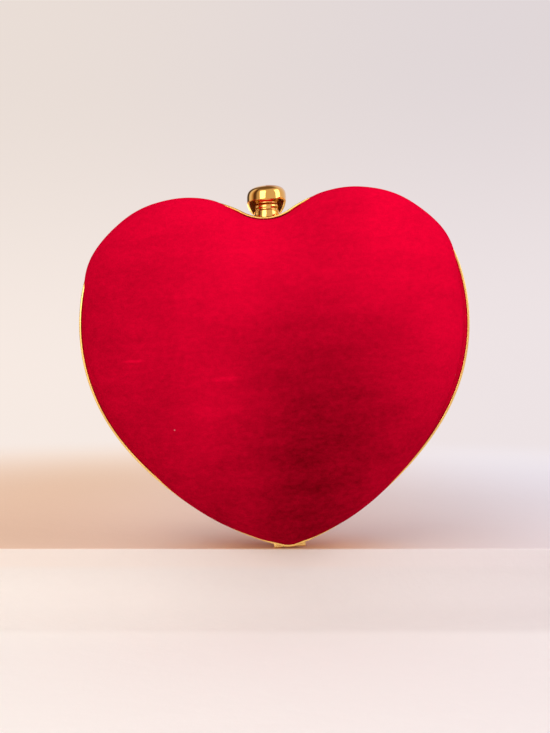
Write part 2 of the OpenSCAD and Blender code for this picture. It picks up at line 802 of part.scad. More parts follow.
module strap_eye_rivets() {
    color("darkgoldenrod")
        for (left = [false, true])
            each_eye_rivet(left)
                rivet(eye_plate_r - eye_plate_t, lobe_r - bead_out);
}
module clasp_post() { color("gold") clasp_post_shape(); }
module post_screw() { color("silver") post_screw_shape(); }
module clasp_hood() { color("gold") clasp_hood_shape(); }
module clasp_lever() { color("gold") clasp_lever_shape(); }

back_frame();
back_shell();
back_padding();
back_velvet();
back_lining();
back_hinge_leaf();
back_hinge_rivets();
hinge_pin();
clasp_bracket();
clasp_rivets();
clasp_pin();
clasp_spring();
left_strap_eye();
right_strap_eye();
strap_eye_rivets();
front_frame();
front_shell();
front_padding();
front_velvet();
front_lining();
front_hinge_leaf();
front_hinge_rivets();
clasp_post();
post_screw();
clasp_hood();
clasp_lever();
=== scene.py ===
import bmesh
import bpy
import numpy as np
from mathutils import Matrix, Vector


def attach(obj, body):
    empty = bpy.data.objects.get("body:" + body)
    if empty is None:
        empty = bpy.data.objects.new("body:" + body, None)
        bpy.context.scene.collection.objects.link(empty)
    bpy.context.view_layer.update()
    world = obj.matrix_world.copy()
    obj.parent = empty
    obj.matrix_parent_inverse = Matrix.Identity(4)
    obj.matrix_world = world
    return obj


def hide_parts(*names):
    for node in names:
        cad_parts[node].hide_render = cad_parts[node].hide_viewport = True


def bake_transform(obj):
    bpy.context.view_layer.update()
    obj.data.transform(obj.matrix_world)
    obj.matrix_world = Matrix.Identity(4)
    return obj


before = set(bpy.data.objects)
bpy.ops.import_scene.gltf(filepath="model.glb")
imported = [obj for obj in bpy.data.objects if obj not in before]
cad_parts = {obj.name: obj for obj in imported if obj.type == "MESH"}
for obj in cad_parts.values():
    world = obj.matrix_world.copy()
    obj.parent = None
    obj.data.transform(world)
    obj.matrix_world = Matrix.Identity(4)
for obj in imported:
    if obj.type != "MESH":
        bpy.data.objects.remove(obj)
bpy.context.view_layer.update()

# Looks of a heart shaped box clutch: velvet faces over foam, gilt frames, hinge, clasp and lining.
# Shapes are worked out in millimetres; X runs across the heart, Z is up and the front faces -Y.
mm = 0.001
scene = bpy.context.scene

# Outline of the frames, as in the part's source
heart = dict(width=165.5, height=150, lobe=47.2, side=80, tip=10.5, dip=19, lobeAngle=14.6,
             flankAngle=30.6, tipAngle=74.6, pull=0.308, bottom=0.6, steps=500)
# How much of the case's tuck the covers have along the outline: low at the tip, all of it at the
# side, none on the lobe and some at the dip; then what the tip and each side have besides, which
# bares more of the rim, between heights (from, full, to, gone)
bare = dict(low=0.36, dip=0.75, flankShares=(0.15, 0.4), lobeShares=(0.5, 0.85),
            tip=0.32, tipReach=(4, 14), side=0.75, middle=25,
            right=(36, 60, 106, 134), left=(30, 50, 104, 130))
# One half of the case: depths from the seam, and how far its layers lie inside the outline
case = dict(crownDepth=25, seam=0.15, power=4, crownHeight=84, swell=0.75, tuck=1.85,
            bandFront=5.65, wallStart=6.85, seat=1.75, edge=1.1)


def heading(angle):
    # unit vector at an angle above level, in degrees
    return np.stack([np.cos(np.radians(angle)), np.sin(np.radians(angle))], -1)


def unit(vectors):
    return vectors / np.linalg.norm(vectors, axis=-1, keepdims=True)


def ease(value, start, stop):
    # smooth rise from 0 at start to 1 at stop, as 3 t^2 - 2 t^3
    t = np.clip((value - start) / (stop - start), 0, 1)
    return t * t * (3 - 2 * t)


lobeShift = (heart["side"] - heart["lobe"]) * heading(heart["lobeAngle"])
tipCentre = np.array([0, heart["bottom"] + heart["tip"]])
lobeCentre = np.array([heart["width"] / 2 - heart["side"] + lobeShift[0],
                       heart["bottom"] + heart["height"] - heart["lobe"]])
sideCentre = lobeCentre - lobeShift
dipCentre = np.array([0, lobeCentre[1] + np.sqrt((heart["dip"] + heart["lobe"]) ** 2 - lobeCentre[0] ** 2)])
dipZ = dipCentre[1] - heart["dip"]


def flankBend(t):
    # (1-t)^3 a + 3 (1-t)^2 t b + 3 (1-t) t^2 c + t^3 d, from the tip's arc to the side's arc, and
    # the direction that points inwards, square to it
    a = tipCentre + heart["tip"] * heading(-heart["tipAngle"])
    d = sideCentre + heart["side"] * heading(-heart["flankAngle"])
    pull = heart["pull"] * np.linalg.norm(d - a)
    b = a + pull * heading(90 - heart["tipAngle"])
    c = d - pull * heading(90 - heart["flankAngle"])
    points = (1 - t) ** 3 * a + 3 * (1 - t) ** 2 * t * b + 3 * (1 - t) * t ** 2 * c + t ** 3 * d
    along = unit((1 - t) ** 2 * (b - a) + 2 * (1 - t) * t * (c - b) + t ** 2 * (d - c))
    return points, np.stack([-along[:, 1], along[:, 0]], 1)


def outline(count):
    # The right half runs tip arc, flank bend, side arc, lobe arc and hollow dip arc; each arc is its
    # centre plus its radius times a heading, the bend a cubic curve. Mirrored, then spaced evenly.
    # Each point also has its inward direction and its weight, the share of the tuck that it gets.
    f = np.arange(heart["steps"]) / heart["steps"]
    dipJoin = np.degrees(np.arctan2(*(lobeCentre - dipCentre)[::-1]))
    tipEnd, sideStart = bare["flankShares"]
    sideEnd, dipStart = bare["lobeShares"]
    flank = (*flankBend(f[:, None]), bare["low"] * (1 - ease(f, 0, tipEnd)) + ease(f, sideStart, 1))
    arcs = []
    for centre, radius, start, stop, weight, way in (
            (tipCentre, heart["tip"], -90, -heart["tipAngle"], bare["low"] + 0 * f, -1),
            (sideCentre, heart["side"], -heart["flankAngle"], heart["lobeAngle"], 1 + 0 * f, -1),
            (lobeCentre, heart["lobe"], heart["lobeAngle"], dipJoin + 180,
             1 - ease(f, 0, sideEnd) + bare["dip"] * ease(f, dipStart, 1), -1),
            (dipCentre, heart["dip"], dipJoin, -90, bare["dip"] + 0 * f, 1)):
        spoke = heading(start + (stop - start) * f)
        arcs.append((centre + radius * spoke, way * spoke, weight))
    parts = [np.column_stack(part) for part in (arcs[0], flank, *arcs[1:])]
    right = np.vstack(parts + [[[0, dipZ, 0, -1, bare["dip"]]]])
    left = right[1:-1][::-1] * [-1, 1, -1, 1, 1]
    loop = np.vstack([right, left, right[:1]])
    run = np.append(0, np.cumsum(np.linalg.norm(np.diff(loop[:, :2], axis=0), axis=1)))
    at = np.linspace(0, run[-1], count, endpoint=False)
    even = np.stack([np.interp(at, run, loop[:, k]) for k in range(5)], 1)
    points, inward, weight = even[:, :2], unit(even[:, 2:4]), even[:, 4]
    x, z = points.T
    weight += bare["tip"] * (1 - ease(z, *bare["tipReach"]))
    for beside, (start, full, to, gone) in ((x > 0, bare["right"]), (x < 0, bare["left"])):
        weight += bare["side"] * beside * ease(z, start, full) * (1 - ease(z, to, gone))
        weight *= 1 - beside * (np.abs(x) > bare["middle"]) * ease(z, to, gone)
    return dict(points=points, inward=inward, weight=weight, run=at, length=run[-1])


def ring(path, inset, tuck=0.0):
    # the outline moved in square to itself by inset, and further by tuck where the sides are tucked
    return path["points"] + (np.atleast_1d(inset) + tuck * path["weight"])[..., None] * path["inward"]


def raised(flat, depth):
    # points of the outline's plane put at a depth before the seam
    return np.stack([flat[..., 0], np.broadcast_to(-depth, flat.shape[:-1]), flat[..., 1]], -1)


def gridFaces(rows, columns, first=0, closedRows=False):
    # four corners of each cell of a grid of points that closes sideways, and their rows and columns
    r, c = np.meshgrid(np.arange(rows if closedRows else rows - 1), np.arange(columns), indexing="ij")
    r, c = r.ravel(), c.ravel()
    corners = np.stack([r, r, r + 1, r + 1], 1), np.stack([c, c + 1, c + 1, c], 1)
    return first + corners[0] % rows * columns + corners[1] % columns, corners


def fanFaces(first, count, pole):
    # triangles from the ring that starts at first to its pole
    k = np.arange(count)
    return np.stack([first + k, first + (k + 1) % count, np.full(count, pole)], 1)


def makePiece(name, points, faces, uvs=None):
    # One mesh object from points in millimetres and arrays of faces, whose UVs, if any, follow the
    # surface. A negative sum of a . (b x c) over the faces means that they point inwards, and then
    # all are turned.
    p = np.asarray(points, float) * mm
    volume = 0.0
    for f in faces:
        for k in range(1, f.shape[1] - 1):
            volume += np.einsum("ij,ij->", p[f[:, 0]], np.cross(p[f[:, k]], p[f[:, k + 1]]))
    turned = -1 if volume < 0 else 1
    rows = [row for f in faces for row in f[:, ::turned].tolist()]
    mesh = bpy.data.meshes.new(name)
    mesh.from_pydata(p.tolist(), [], rows)
    if uvs is not None:
        layer = mesh.uv_layers.new(name="surface")
        layer.data.foreach_set("uv", np.concatenate([u[:, ::turned].reshape(-1, 2) for u in uvs]).ravel())
    mesh.validate()
    mesh.update()
    piece = bpy.data.objects.new(name, mesh)
    scene.collection.objects.link(piece)
    return piece


def bake(piece):
    # puts the result of the modifiers into the mesh
    graph = bpy.context.evaluated_depsgraph_get()
    made = bpy.data.meshes.new_from_object(piece.evaluated_get(graph), preserve_all_data_layers=True,
                                           depsgraph=graph)
    piece.modifiers.clear()
    piece.data = made
    made.name = piece.name


def cut(piece, cutters):
    # takes each cutter out of the piece
    for cutter in cutters:
        step = piece.modifiers.new("cut", "BOOLEAN")
        step.object = cutter
        step.solver = "EXACT"
        step.operation = "DIFFERENCE"
    bake(piece)
    for cutter in cutters:
        bpy.data.objects.remove(cutter)


def softenEdges(piece, width, angle, segments):
    # rounds edges sharper than the angle
    step = piece.modifiers.new("soften", "BEVEL")
    step.width = width * mm
    step.segments = segments
    step.limit_method = "ANGLE"
    step.angle_limit = np.radians(angle)
    step.use_clamp_overlap = True
    bake(piece)


def boxes(name, corners):
    # one mesh of closed boxes, each given by a corner and its three edges as vectors
    points, faces = [], []
    unit = np.array([[0, 0, 0], [1, 0, 0], [1, 1, 0], [0, 1, 0], [0, 0, 1], [1, 0, 1], [1, 1, 1], [0, 1, 1]])
    sides = np.array([[0, 3, 2, 1], [4, 5, 6, 7], [0, 1, 5, 4], [1, 2, 6, 5], [2, 3, 7, 6], [3, 0, 4, 7]])
    for k, (corner, edges) in enumerate(corners):
        points.append(np.asarray(corner, float) + unit @ np.asarray(edges, float))
        faces.append(sides + 8 * k)
    return makePiece(name, np.vstack(points), faces)


def straightBox(low, high):
    # corner and edges of a box that is given by two opposite corners
    size = np.asarray(high, float) - np.asarray(low, float)
    return low, np.diag(size)


def prism(name, shape, depth0, depth1):
    # the closed outline shape carried between two depths at the front
    n = len(shape)
    points = np.vstack([raised(shape, np.array(depth)) for depth in (depth0, depth1)])
    walls, _ = gridFaces(2, n)
    return makePiece(name, points, [walls, np.arange(n)[None, ::-1], np.arange(n, 2 * n)[None]])


def finishPiece(piece, body, node, slotName, material, angle):
    # smooth shading, but for edges sharper than the angle, then the look and the place in the frame
    piece.data.shade_smooth()
    piece.data.set_sharp_from_angle(angle=np.radians(angle))
    piece.data.materials.clear()
    piece.data.materials.append(material)
    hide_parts(node)
    if body:
        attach(piece, body)
    return piece


# Materials
def addNode(tree, kind, inputs=None, **settings):
    made = tree.nodes.new(kind)
    for key, value in settings.items():
        setattr(made, key, value)
    for key, value in (inputs or {}).items():
        if isinstance(value, bpy.types.NodeSocket):
            tree.links.new(value, made.inputs[key])
        else:
            made.inputs[key].default_value = value
    return made


def startMaterial(name, **constants):
    # a Principled shader with its constants set on its own sockets
    material = bpy.data.materials.new(name)
    material.use_nodes = True
    tree = material.node_tree
    shader = tree.nodes["Principled BSDF"]
    for key, value in constants.items():
        shader.inputs[key.replace("_", " ")].default_value = value
    place = addNode(tree, "ShaderNodeTexCoord").outputs["Object"]
    return material, tree, shader, place


def connect(tree, node, **links):
    for key, socket in links.items():
        tree.links.new(socket, node.inputs[key.replace("_", " ")])


def vectorMath(tree, operation, *vectors):
    return addNode(tree, "ShaderNodeVectorMath", dict(enumerate(vectors)), operation=operation).outputs


def noise(tree, place, scale, detail=3.0, rough=0.5, stretch=(1, 1, 1), turned=(0, 0, 0)):
    # fractal noise with features of about 1 / scale metres, drawn out where stretch is small
    spread = addNode(tree, "ShaderNodeMapping",
                     {"Vector": place, "Scale": stretch, "Rotation": np.radians(turned)})
    return addNode(tree, "ShaderNodeTexNoise", {"Vector": spread.outputs[0], "Scale": scale,
                                                "Detail": detail, "Roughness": rough}).outputs["Fac"]


def remap(tree, value, fromLow, fromHigh, low=0.0, high=1.0, kind="SMOOTHSTEP"):
    return addNode(tree, "ShaderNodeMapRange",
                   {"Value": value, "From Min": fromLow, "From Max": fromHigh, "To Min": low,
                    "To Max": high}, interpolation_type=kind).outputs["Result"]


def calc(tree, operation, *values, clamp=False):
    return addNode(tree, "ShaderNodeMath", dict(enumerate(values)), operation=operation,
                   use_clamp=clamp).outputs[0]


def mixColour(tree, share, first, second):
    # the share of the second in the first; each is a socket or (red, green, blue)
    a, b = (k if isinstance(k, bpy.types.NodeSocket) else (*k, 1) for k in (first, second))
    return addNode(tree, "ShaderNodeMix", {0: share, 6: a, 7: b}, data_type="RGBA").outputs[2]


def bump(tree, height, depth, normal=None):
    # depth is that of the relief, in metres; a normal is that of the relief under this one
    under = {} if normal is None else {"Normal": normal}
    return addNode(tree, "ShaderNodeBump",
                   {"Height": height, "Distance": depth, "Strength": 1.0, **under}).outputs[0]


def giltMetal(name, colour, deepColour, roughness, scratches, dullInsideAndBounce=None, lacquer=0.0):
    # Gold plate: slightly uneven polish, faint smudges, hairline scratches two ways, worn spots.
    # On the turned clasp the faces that look at its axis keep a dull cast surface, whose brown is
    # made pale as painted light, standing for light bounced into the hood's shaded mouth.
    material, tree, shader, place = startMaterial(
        name, Metallic=1.0, Coat_Weight=lacquer, Coat_Roughness=0.03)
    smudge = noise(tree, place, 55, 4, 0.6)
    cloud = noise(tree, place, 16, 2)
    hairA = noise(tree, place, 900, 2, 0.6, (1, 0.05, 0.12), (0, 25, 10))
    hairB = noise(tree, place, 1100, 2, 0.6, (0.08, 1, 0.6), (15, -40, 0))
    hair = calc(tree, "MAXIMUM", remap(tree, hairA, 0.66, 0.74), remap(tree, hairB, 0.68, 0.76))
    worn = remap(tree, noise(tree, place, 420, 5, 0.65), 0.66, 0.78)
    tone = mixColour(tree, remap(tree, cloud, 0.3, 0.7), colour, deepColour)
    tone = mixColour(tree, calc(tree, "MULTIPLY", worn, 0.5), tone, [0.55 * c + 0.2 for c in deepColour])
    rough = calc(tree, "ADD", remap(tree, smudge, 0.35, 0.7, roughness, roughness * 1.9),
                 calc(tree, "MULTIPLY", hair, 0.10 * scratches))
    rough = calc(tree, "ADD", rough, calc(tree, "MULTIPLY", worn, 0.12))
    if dullInsideAndBounce:
        normal = addNode(tree, "ShaderNodeTexCoord").outputs["Normal"]
        spoke = vectorMath(tree, "MULTIPLY", place, (1, 1, 0))[0]
        facing = vectorMath(tree, "DOT_PRODUCT", spoke, normal)["Value"]
        inside = remap(tree, facing, -0.0012, -0.0004, 1.0, 0.0)
        # partly painted light: the inside's brown is pale to stand for light bounced into the shaded hood
        tone = mixColour(tree, inside, tone, dullInsideAndBounce["colour"])
        connect(tree, shader, Metallic=remap(tree, inside, 0, 1, 1.0, dullInsideAndBounce["metal"], "LINEAR"))
        rough = calc(tree, "ADD", rough, calc(tree, "MULTIPLY", inside, dullInsideAndBounce["roughness"]))
    relief = bump(tree, noise(tree, place, 120, 2), 0.000012)
    relief = bump(tree, hair, -0.0000025 * scratches, relief)
    connect(tree, shader, Base_Color=tone, Roughness=rough, Normal=relief)
    return material


# bright and deep are the lit and the shaded crimson, between which the painted light runs
velvetLook = dict(
    bright=(0.92, 0.0012, 0.039), deep=(0.145, 0.0004, 0.0042),
    sheen=0.16, sheenRoughness=0.30, sheenTint=(1.0, 0.004, 0.05),
    pileScale=2300, pileDepth=0.00016, tuftScale=620, tuftDepth=0.00010, streakDepth=0.00012,
    cloudShade=0.11, streakShade=0.075, tuftShade=0.085,
    lintScale=95.0, lintFrom=0.80, lintSize=0.05, lintShade=0.55, lint=(0.75, 0.30, 0.34))


def ovalDistance(tree, place, centre, radii, turned):
    # 0 at the middle of an oval on the face, 1 at its edge; sizes in millimetres
    shifted = addNode(tree, "ShaderNodeMapping", {
        "Vector": place, "Location": (-centre[0] * mm, 0, -centre[1] * mm)}).outputs[0]
    spun = addNode(tree, "ShaderNodeMapping", {
        "Vector": shifted, "Rotation": (0, np.radians(turned), 0),
        "Scale": (1 / (radii[0] * mm), 0, 1 / (radii[1] * mm))}).outputs[0]
    return vectorMath(tree, "LENGTH", spun)["Value"]


def lintSpots(tree, place, look):
    # a speck in the middle of few of the cells that the face is divided into
    flat = vectorMath(tree, "MULTIPLY", place, (1, 0, 1))[0]
    cells = addNode(tree, "ShaderNodeTexVoronoi", {"Vector": flat, "Scale": look["lintScale"]})
    red = addNode(tree, "ShaderNodeSeparateColor", {"Color": cells.outputs["Color"]}).outputs[0]
    chosen = remap(tree, red, look["lintFrom"], look["lintFrom"] + 0.02)
    speck = remap(tree, cells.outputs["Distance"], 0.4 * look["lintSize"], look["lintSize"], 1.0, 0.0)
    return calc(tree, "MULTIPLY", calc(tree, "MULTIPLY", speck, chosen), look["lintShade"])


def velvetMaterial(name, shadeAndNapPatches, marks, base):
    # Short crimson pile. Broad dark and bright fields are painted shade and painted light, which stand
    # partly for the brushed nap; the nap also gives fine streaks and a few pale strokes; the pile itself
    # is a fine grain in the normal; sparse lint sits on it.
    # Patches are (centre, radii, turn, strength, raggedness), marks (start, end, width, strength),
    # and the base is painted light: it runs from dark at low to light at high, as if lit from above,
    # and by across over 100 mm sideways.
    look = velvetLook
    material, tree, shader, place = startMaterial(
        name, Roughness=0.86, Sheen_Weight=look["sheen"], Sheen_Roughness=look["sheenRoughness"],
        Sheen_Tint=(*look["sheenTint"], 1), Specular_IOR_Level=0.0)
    spot = addNode(tree, "ShaderNodeSeparateXYZ", {"Vector": place})
    # painted light: darker low and lighter high, as light from above falls on the face, and lighter to one
    # side
    light = remap(tree, spot.outputs["Z"], base["low"] * mm, base["high"] * mm,
                  base["dark"], base["light"], "LINEAR")
    light = calc(tree, "ADD", light, calc(tree, "MULTIPLY", spot.outputs["X"], base["across"] / (100 * mm)))
    # painted shade and painted light over broad fields, which stand partly for the brushed nap
    for centre, radii, turned, strength, edge in shadeAndNapPatches:
        away = ovalDistance(tree, place, centre, radii, turned)
        away = calc(tree, "ADD", away, remap(tree, noise(tree, place, 38, 3), 0, 1, -edge, edge, "LINEAR"))
        light = calc(tree, "ADD", light, remap(tree, away, 0.0, 1.0, strength, 0.0))
    for start, end, width, strength in marks:
        a, b = np.array(start, float), np.array(end, float)
        length, angle = np.linalg.norm(b - a), np.degrees(np.arctan2(*(b - a)[::-1]))
        away = ovalDistance(tree, place, (a + b) / 2, (length / 2, width), angle)
        rough = remap(tree, noise(tree, place, 500, 3), 0.3, 0.7, 0.5, 1.0)
        stroke = calc(tree, "MULTIPLY", remap(tree, away, 0.2, 1.0, strength, 0.0), rough)
        light = calc(tree, "ADD", light, stroke)
    cloud = noise(tree, place, 24, 4, 0.55, (1, 1, 1.3))
    streak = noise(tree, place, 150, 4, 0.6, (0.16, 1, 1), (0, 12, 0))
    tufts = noise(tree, place, look["tuftScale"], 2, 0.6, (0.6, 1, 1))
    for value, key in ((cloud, "cloudShade"), (streak, "streakShade"), (tufts, "tuftShade")):
        light = calc(tree, "ADD", light, remap(tree, value, 0.2, 0.8, -look[key], look[key], "LINEAR"))
    light = calc(tree, "ADD", light, 0.0, clamp=True)
    # the crimson runs from its shaded to its lit tone by the share of painted light
    tone = mixColour(tree, light, look["deep"], look["bright"])
    tone = mixColour(tree, lintSpots(tree, place, look), tone, look["lint"])
    relief = bump(tree, noise(tree, place, look["pileScale"], 2, 0.7), look["pileDepth"])
    relief = bump(tree, tufts, look["tuftDepth"], relief)
    connect(tree, shader, Base_Color=tone, Normal=bump(tree, streak, look["streakDepth"], relief))
    return material


def satinMaterial(name):
    # Woven satin: fine crossed threads, long floats that shine, slight shade changes
    material, tree, shader, place = startMaterial(
        name, Specular_IOR_Level=0.55, Sheen_Weight=0.25, Sheen_Roughness=0.4,
        Sheen_Tint=(1, 0.35, 0.4, 1), Anisotropic=0.45)
    threads = noise(tree, place, 2600, 2, 0.5, (0.12, 1, 1))
    cross = noise(tree, place, 2600, 2, 0.5, (1, 1, 0.12))
    cloud = noise(tree, place, 45, 3)
    tone = mixColour(tree, remap(tree, cloud, 0.3, 0.7), (0.23, 0.004, 0.016), (0.34, 0.008, 0.026))
    tone = mixColour(tree, remap(tree, threads, 0.35, 0.65, 0.0, 0.5), tone, (0.15, 0.003, 0.010))
    weave = bump(tree, cross, 0.00003, bump(tree, threads, 0.00005))
    connect(tree, shader, Base_Color=tone, Normal=weave, Roughness=remap(tree, threads, 0.3, 0.7, 0.30, 0.46))
    return material


def foamMaterial(name):
    # Open cell foam: rounded pores of half a millimetre, slightly yellowed in clouds, with painted
    # shade in the pores, darker towards their middles
    material, tree, shader, place = startMaterial(name, Roughness=0.95, Specular_IOR_Level=0.15,
                                                  Sheen_Weight=0.2)
    cells = addNode(tree, "ShaderNodeTexVoronoi", {"Vector": place, "Scale": 1700.0}).outputs["Distance"]
    cloud = noise(tree, place, 40, 3)
    tone = mixColour(tree, remap(tree, cloud, 0.3, 0.7), (0.86, 0.80, 0.66), (0.90, 0.87, 0.78))
    # painted shade: darker towards the middle of each pore
    tone = mixColour(tree, remap(tree, cells, 0.1, 0.5, 0.45, 0.0), tone, (0.58, 0.50, 0.36))
    connect(tree, shader, Base_Color=tone, Normal=bump(tree, cells, 0.0003))
    return material


def mouldedMaterial(name):
    # Moulded shell: fine spark texture and faint flow marks from the gate
    material, tree, shader, place = startMaterial(name, Specular_IOR_Level=0.4)
    grain = noise(tree, place, 1500, 3, 0.6)
    flow = noise(tree, place, 30, 3, 0.5, (0.4, 1, 1))
    tone = mixColour(tree, remap(tree, flow, 0.3, 0.7), (0.066, 0.062, 0.060), (0.088, 0.084, 0.080))
    connect(tree, shader, Base_Color=tone, Roughness=remap(tree, grain, 0.3, 0.7, 0.48, 0.66),
            Normal=bump(tree, grain, 0.00006))
    return material


def steelMaterial(name):
    # Drawn steel: fine lines along the wire or pin, a little oil tint
    material, tree, shader, place = startMaterial(name, Metallic=1.0)
    lines = noise(tree, place, 2400, 2, 0.6, (0.06, 1, 1))
    tint = noise(tree, place, 160, 3)
    tone = mixColour(tree, remap(tree, tint, 0.35, 0.65), (0.56, 0.55, 0.53), (0.44, 0.42, 0.39))
    connect(tree, shader, Base_Color=tone, Roughness=remap(tree, lines, 0.3, 0.7, 0.20, 0.38),
            Normal=bump(tree, lines, 0.000006))
    return material


frameGilt = giltMetal("frameGilt", (0.95, 0.64, 0.20), (0.86, 0.53, 0.14), 0.17, 1.0)
# the clasp's inside is a dull cast brown, made pale as painted bounce light
claspGilt = giltMetal("claspGilt", (0.93, 0.53, 0.12), (0.85, 0.44, 0.08), 0.05, 0.7,
                      dict(colour=(0.84, 0.38, 0.08), roughness=0.30, metal=0.25), 1.0)
fittingGilt = giltMetal("fittingGilt", (0.86, 0.56, 0.20), (0.76, 0.46, 0.14), 0.22, 1.2)
drawnSteel = steelMaterial("drawnSteel")
# Front velvet: its base is painted light, darker low and lighter high and towards +x; its patches are painted
# shade, partly nap, over the middle, the tip, the upper lobe at -x and the top
frontVelvetPile = velvetMaterial(
    "frontVelvetPile",
    [((20.8, 69.5), (54, 73), 0, -0.35, 0.07), ((8, 0), (32.7, 60.6), 0, -0.23, 0.06),
     ((-72.7, 129.4), (69, 97.6), 0, -0.25, 0.05), ((21.2, 149.3), (33.3, 49.3), 0, -0.20, 0.05)],
    [((-63, 80.5), (-52.5, 86), 0.9, 0.34), ((-31, 69), (-11, 78), 1.5, 0.22)],
    dict(low=15, high=150, dark=0.286, light=0.85, across=0.102))
# Back velvet: its base is painted light, darker low and lighter high and towards -x; its patches are painted
# shade low at -x and painted light high at +x, partly nap
backVelvetPile = velvetMaterial(
    "backVelvetPile",
    [((-26, 62), (58, 60), 0, -0.24, 0.12), ((34, 108), (36, 30), 20, 0.10, 0.10)],
    [((20, 92), (44, 99), 1.2, 0.08)],
    dict(low=15, high=150, dark=0.46, light=0.76, across=-0.05))
liningSatin = satinMaterial("liningSatin")
paddingFoam = foamMaterial("paddingFoam")
shellPlastic = mouldedMaterial("shellPlastic")
print("materials made")

# Frames: a band with a bead along the seam
frameBand = dict(
    bead=1.5, beadOut=0.5, inner=1.6, count=720, cornerSteps=5, flatter=1.25,
    softness=(0.10, 0.32, 0.20, 0.10, 0.43, 0.43),  # of the six corners of the section
    notchHalf=7.0, notchDepth=2.0, notchTop=6, notchLow=-1,  # for the hinge barrel
    earAt=3.15, earWide=1.0, earDeep=2.7, earY=2.7, earHalf=2.6)  # for the ears of the clasp's plate


def roundedLoop(corners, softness, steps, flatter):
    # Each corner of a closed section is bent along the curve (1-t)^2 a + 2 t (1-t) corner + t^2 b,
    # where a and b lie softness before and behind it; points further out keep the flats flat.
    corners = np.asarray(corners, float)
    softness = np.asarray(softness, float)[:, None]
    before, after = (unit(np.roll(corners, k, 0) - corners) for k in (1, -1))
    a, b = corners + before * softness, corners + after * softness
    t = np.linspace(0, 1, steps)[None, :, None]
    bends = (1 - t) ** 2 * a[:, None] + 2 * t * (1 - t) * corners[:, None] + t ** 2 * b[:, None]
    outerA, outerB = corners + before * softness * flatter, corners + after * softness * flatter
    return np.concatenate([outerA[:, None], bends, outerB[:, None]], 1).reshape(-1, 2)


def makeFrame(side):
    # the rounded section (inset, depth) carried once round the outline
    b, back = frameBand, side == "back"
    section = roundedLoop([(b["inner"], case["seam"]), (0, case["seam"]), (0, b["bead"]),
                           (b["beadOut"], b["bead"]), (b["beadOut"], case["bandFront"]),
                           (b["inner"], case["bandFront"])], b["softness"], b["cornerSteps"], b["flatter"])
    path = outline(b["count"])
    way = -1 if back else 1
    points = raised(ring(path, section[:, :1]), way * section[:, 1:]).reshape(-1, 3)
    faces, (rows, columns) = gridFaces(len(section), b["count"], closedRows=True)
    around = np.append(0, np.cumsum(np.linalg.norm(np.roll(section, -1, 0) - section, axis=1)))
    uvs = np.stack([columns * path["length"] / b["count"] * mm, around[rows] * mm], -1)
    piece = makePiece(side + "Frame", points, [faces], [uvs])
    cutters = [boxes("notch", [straightBox((-b["notchHalf"], -b["notchDepth"], b["notchLow"]),
                                           (b["notchHalf"], b["notchDepth"], b["notchTop"]))])]
    if back:
        half = np.array([b["earWide"] / 2, b["earDeep"] / 2, b["earHalf"]])
        middles = [np.array([s * b["earAt"], b["earY"], dipZ - b["inner"]]) for s in (-1, 1)]
        cutters.append(boxes("earSlots", [straightBox(middle - half, middle + half) for middle in middles]))
    cut(piece, cutters)
    finishPiece(piece, side + "_half", side + "_frame", "gold_frame", frameGilt, 32)


for side in ("front", "back"):
    makeFrame(side)
print("frames made")

# Covers of velvet on foam on a moulded shell, lined with satin
cover = dict(count=480, hiddenStep=2, domeRings=58, seatRings=6, turnWeight=14, samples=4001,
             halfWide=70, rise=18, velvet=0.7, padding=1.5, shell=1.4, lining=0.5, glue=0.15,
             hem=0.15, liningEdge=0.5, foamFollows=0.2)
# Layers: drop under the face of the velvet on the wall, and drop in the seat
paddingDrop = cover["velvet"] + cover["glue"]
shellDrop = paddingDrop + cover["padding"] + cover["glue"]
liningDrop = shellDrop + cover["shell"] + cover["glue"]
shellSeat = cover["velvet"] + cover["glue"]
liningSeat = shellSeat + cover["shell"] + cover["glue"]


def domeSteps(count):
    # Angles of the dome's rings, spaced by arc length plus a weight times the turning of the curve
    # (cos a)^(2/p), (sin a)^(2/p), so that the shoulder gets the most rings
    a = np.pi / 2 * np.sin(np.pi / 2 * np.linspace(0, 1, cover["samples"])) ** 2
    dx = np.diff(cover["halfWide"] * np.cos(a) ** (2 / case["power"]))
    dy = np.diff(cover["rise"] * np.sin(a) ** (2 / case["power"]))
    direction = np.arctan2(dy, -dx)
    bend = np.abs(np.diff(direction, prepend=direction[0]))
    run = np.append(0, np.cumsum(np.hypot(dx, dy) + cover["turnWeight"] * bend))
    return np.interp(np.linspace(0, run[-1], count + 1)[1:-1], run, a)


def layerRings(path, seatDrop, wallDrop):
    # Rings of one surface of a layer from its seat to its last ring before the crown point. In the
    # seat it stands straight; over the frame it eases to the wall; then it shrinks towards the crown
    # by (cos a)^(2/p) while its depth grows by (sin a)^(2/p). Without a seat it starts at the wall.
    wallIn = case["seat"] - case["swell"] + wallDrop
    base = ring(path, wallIn, case["tuck"])
    rows, depths = [base], [case["wallStart"]]
    if seatDrop is not None:
        seatIn, t = case["seat"] + seatDrop, np.linspace(0, 1, cover["seatRings"])
        rows = [ring(path, seatIn + (wallIn - seatIn) * k, case["tuck"] * k) for k in ease(t, 0, 1)]
        depths = case["bandFront"] + (case["wallStart"] - case["bandFront"]) * t
    crown = np.array([0, case["crownHeight"]])
    shrink = np.cos(domeAngles)[:, None, None] ** (2 / case["power"])
    rise = (case["crownDepth"] - case["wallStart"] - wallDrop) * np.sin(domeAngles) ** (2 / case["power"])
    flat = np.concatenate([np.stack(rows), crown + (base[None] - crown) * shrink])
    depth = np.append(depths, case["wallStart"] + rise)
    return raised(flat, depth[:, None])


def edgeRing(path, inset, depth):
    return raised(ring(path, inset), np.array(depth))[None]


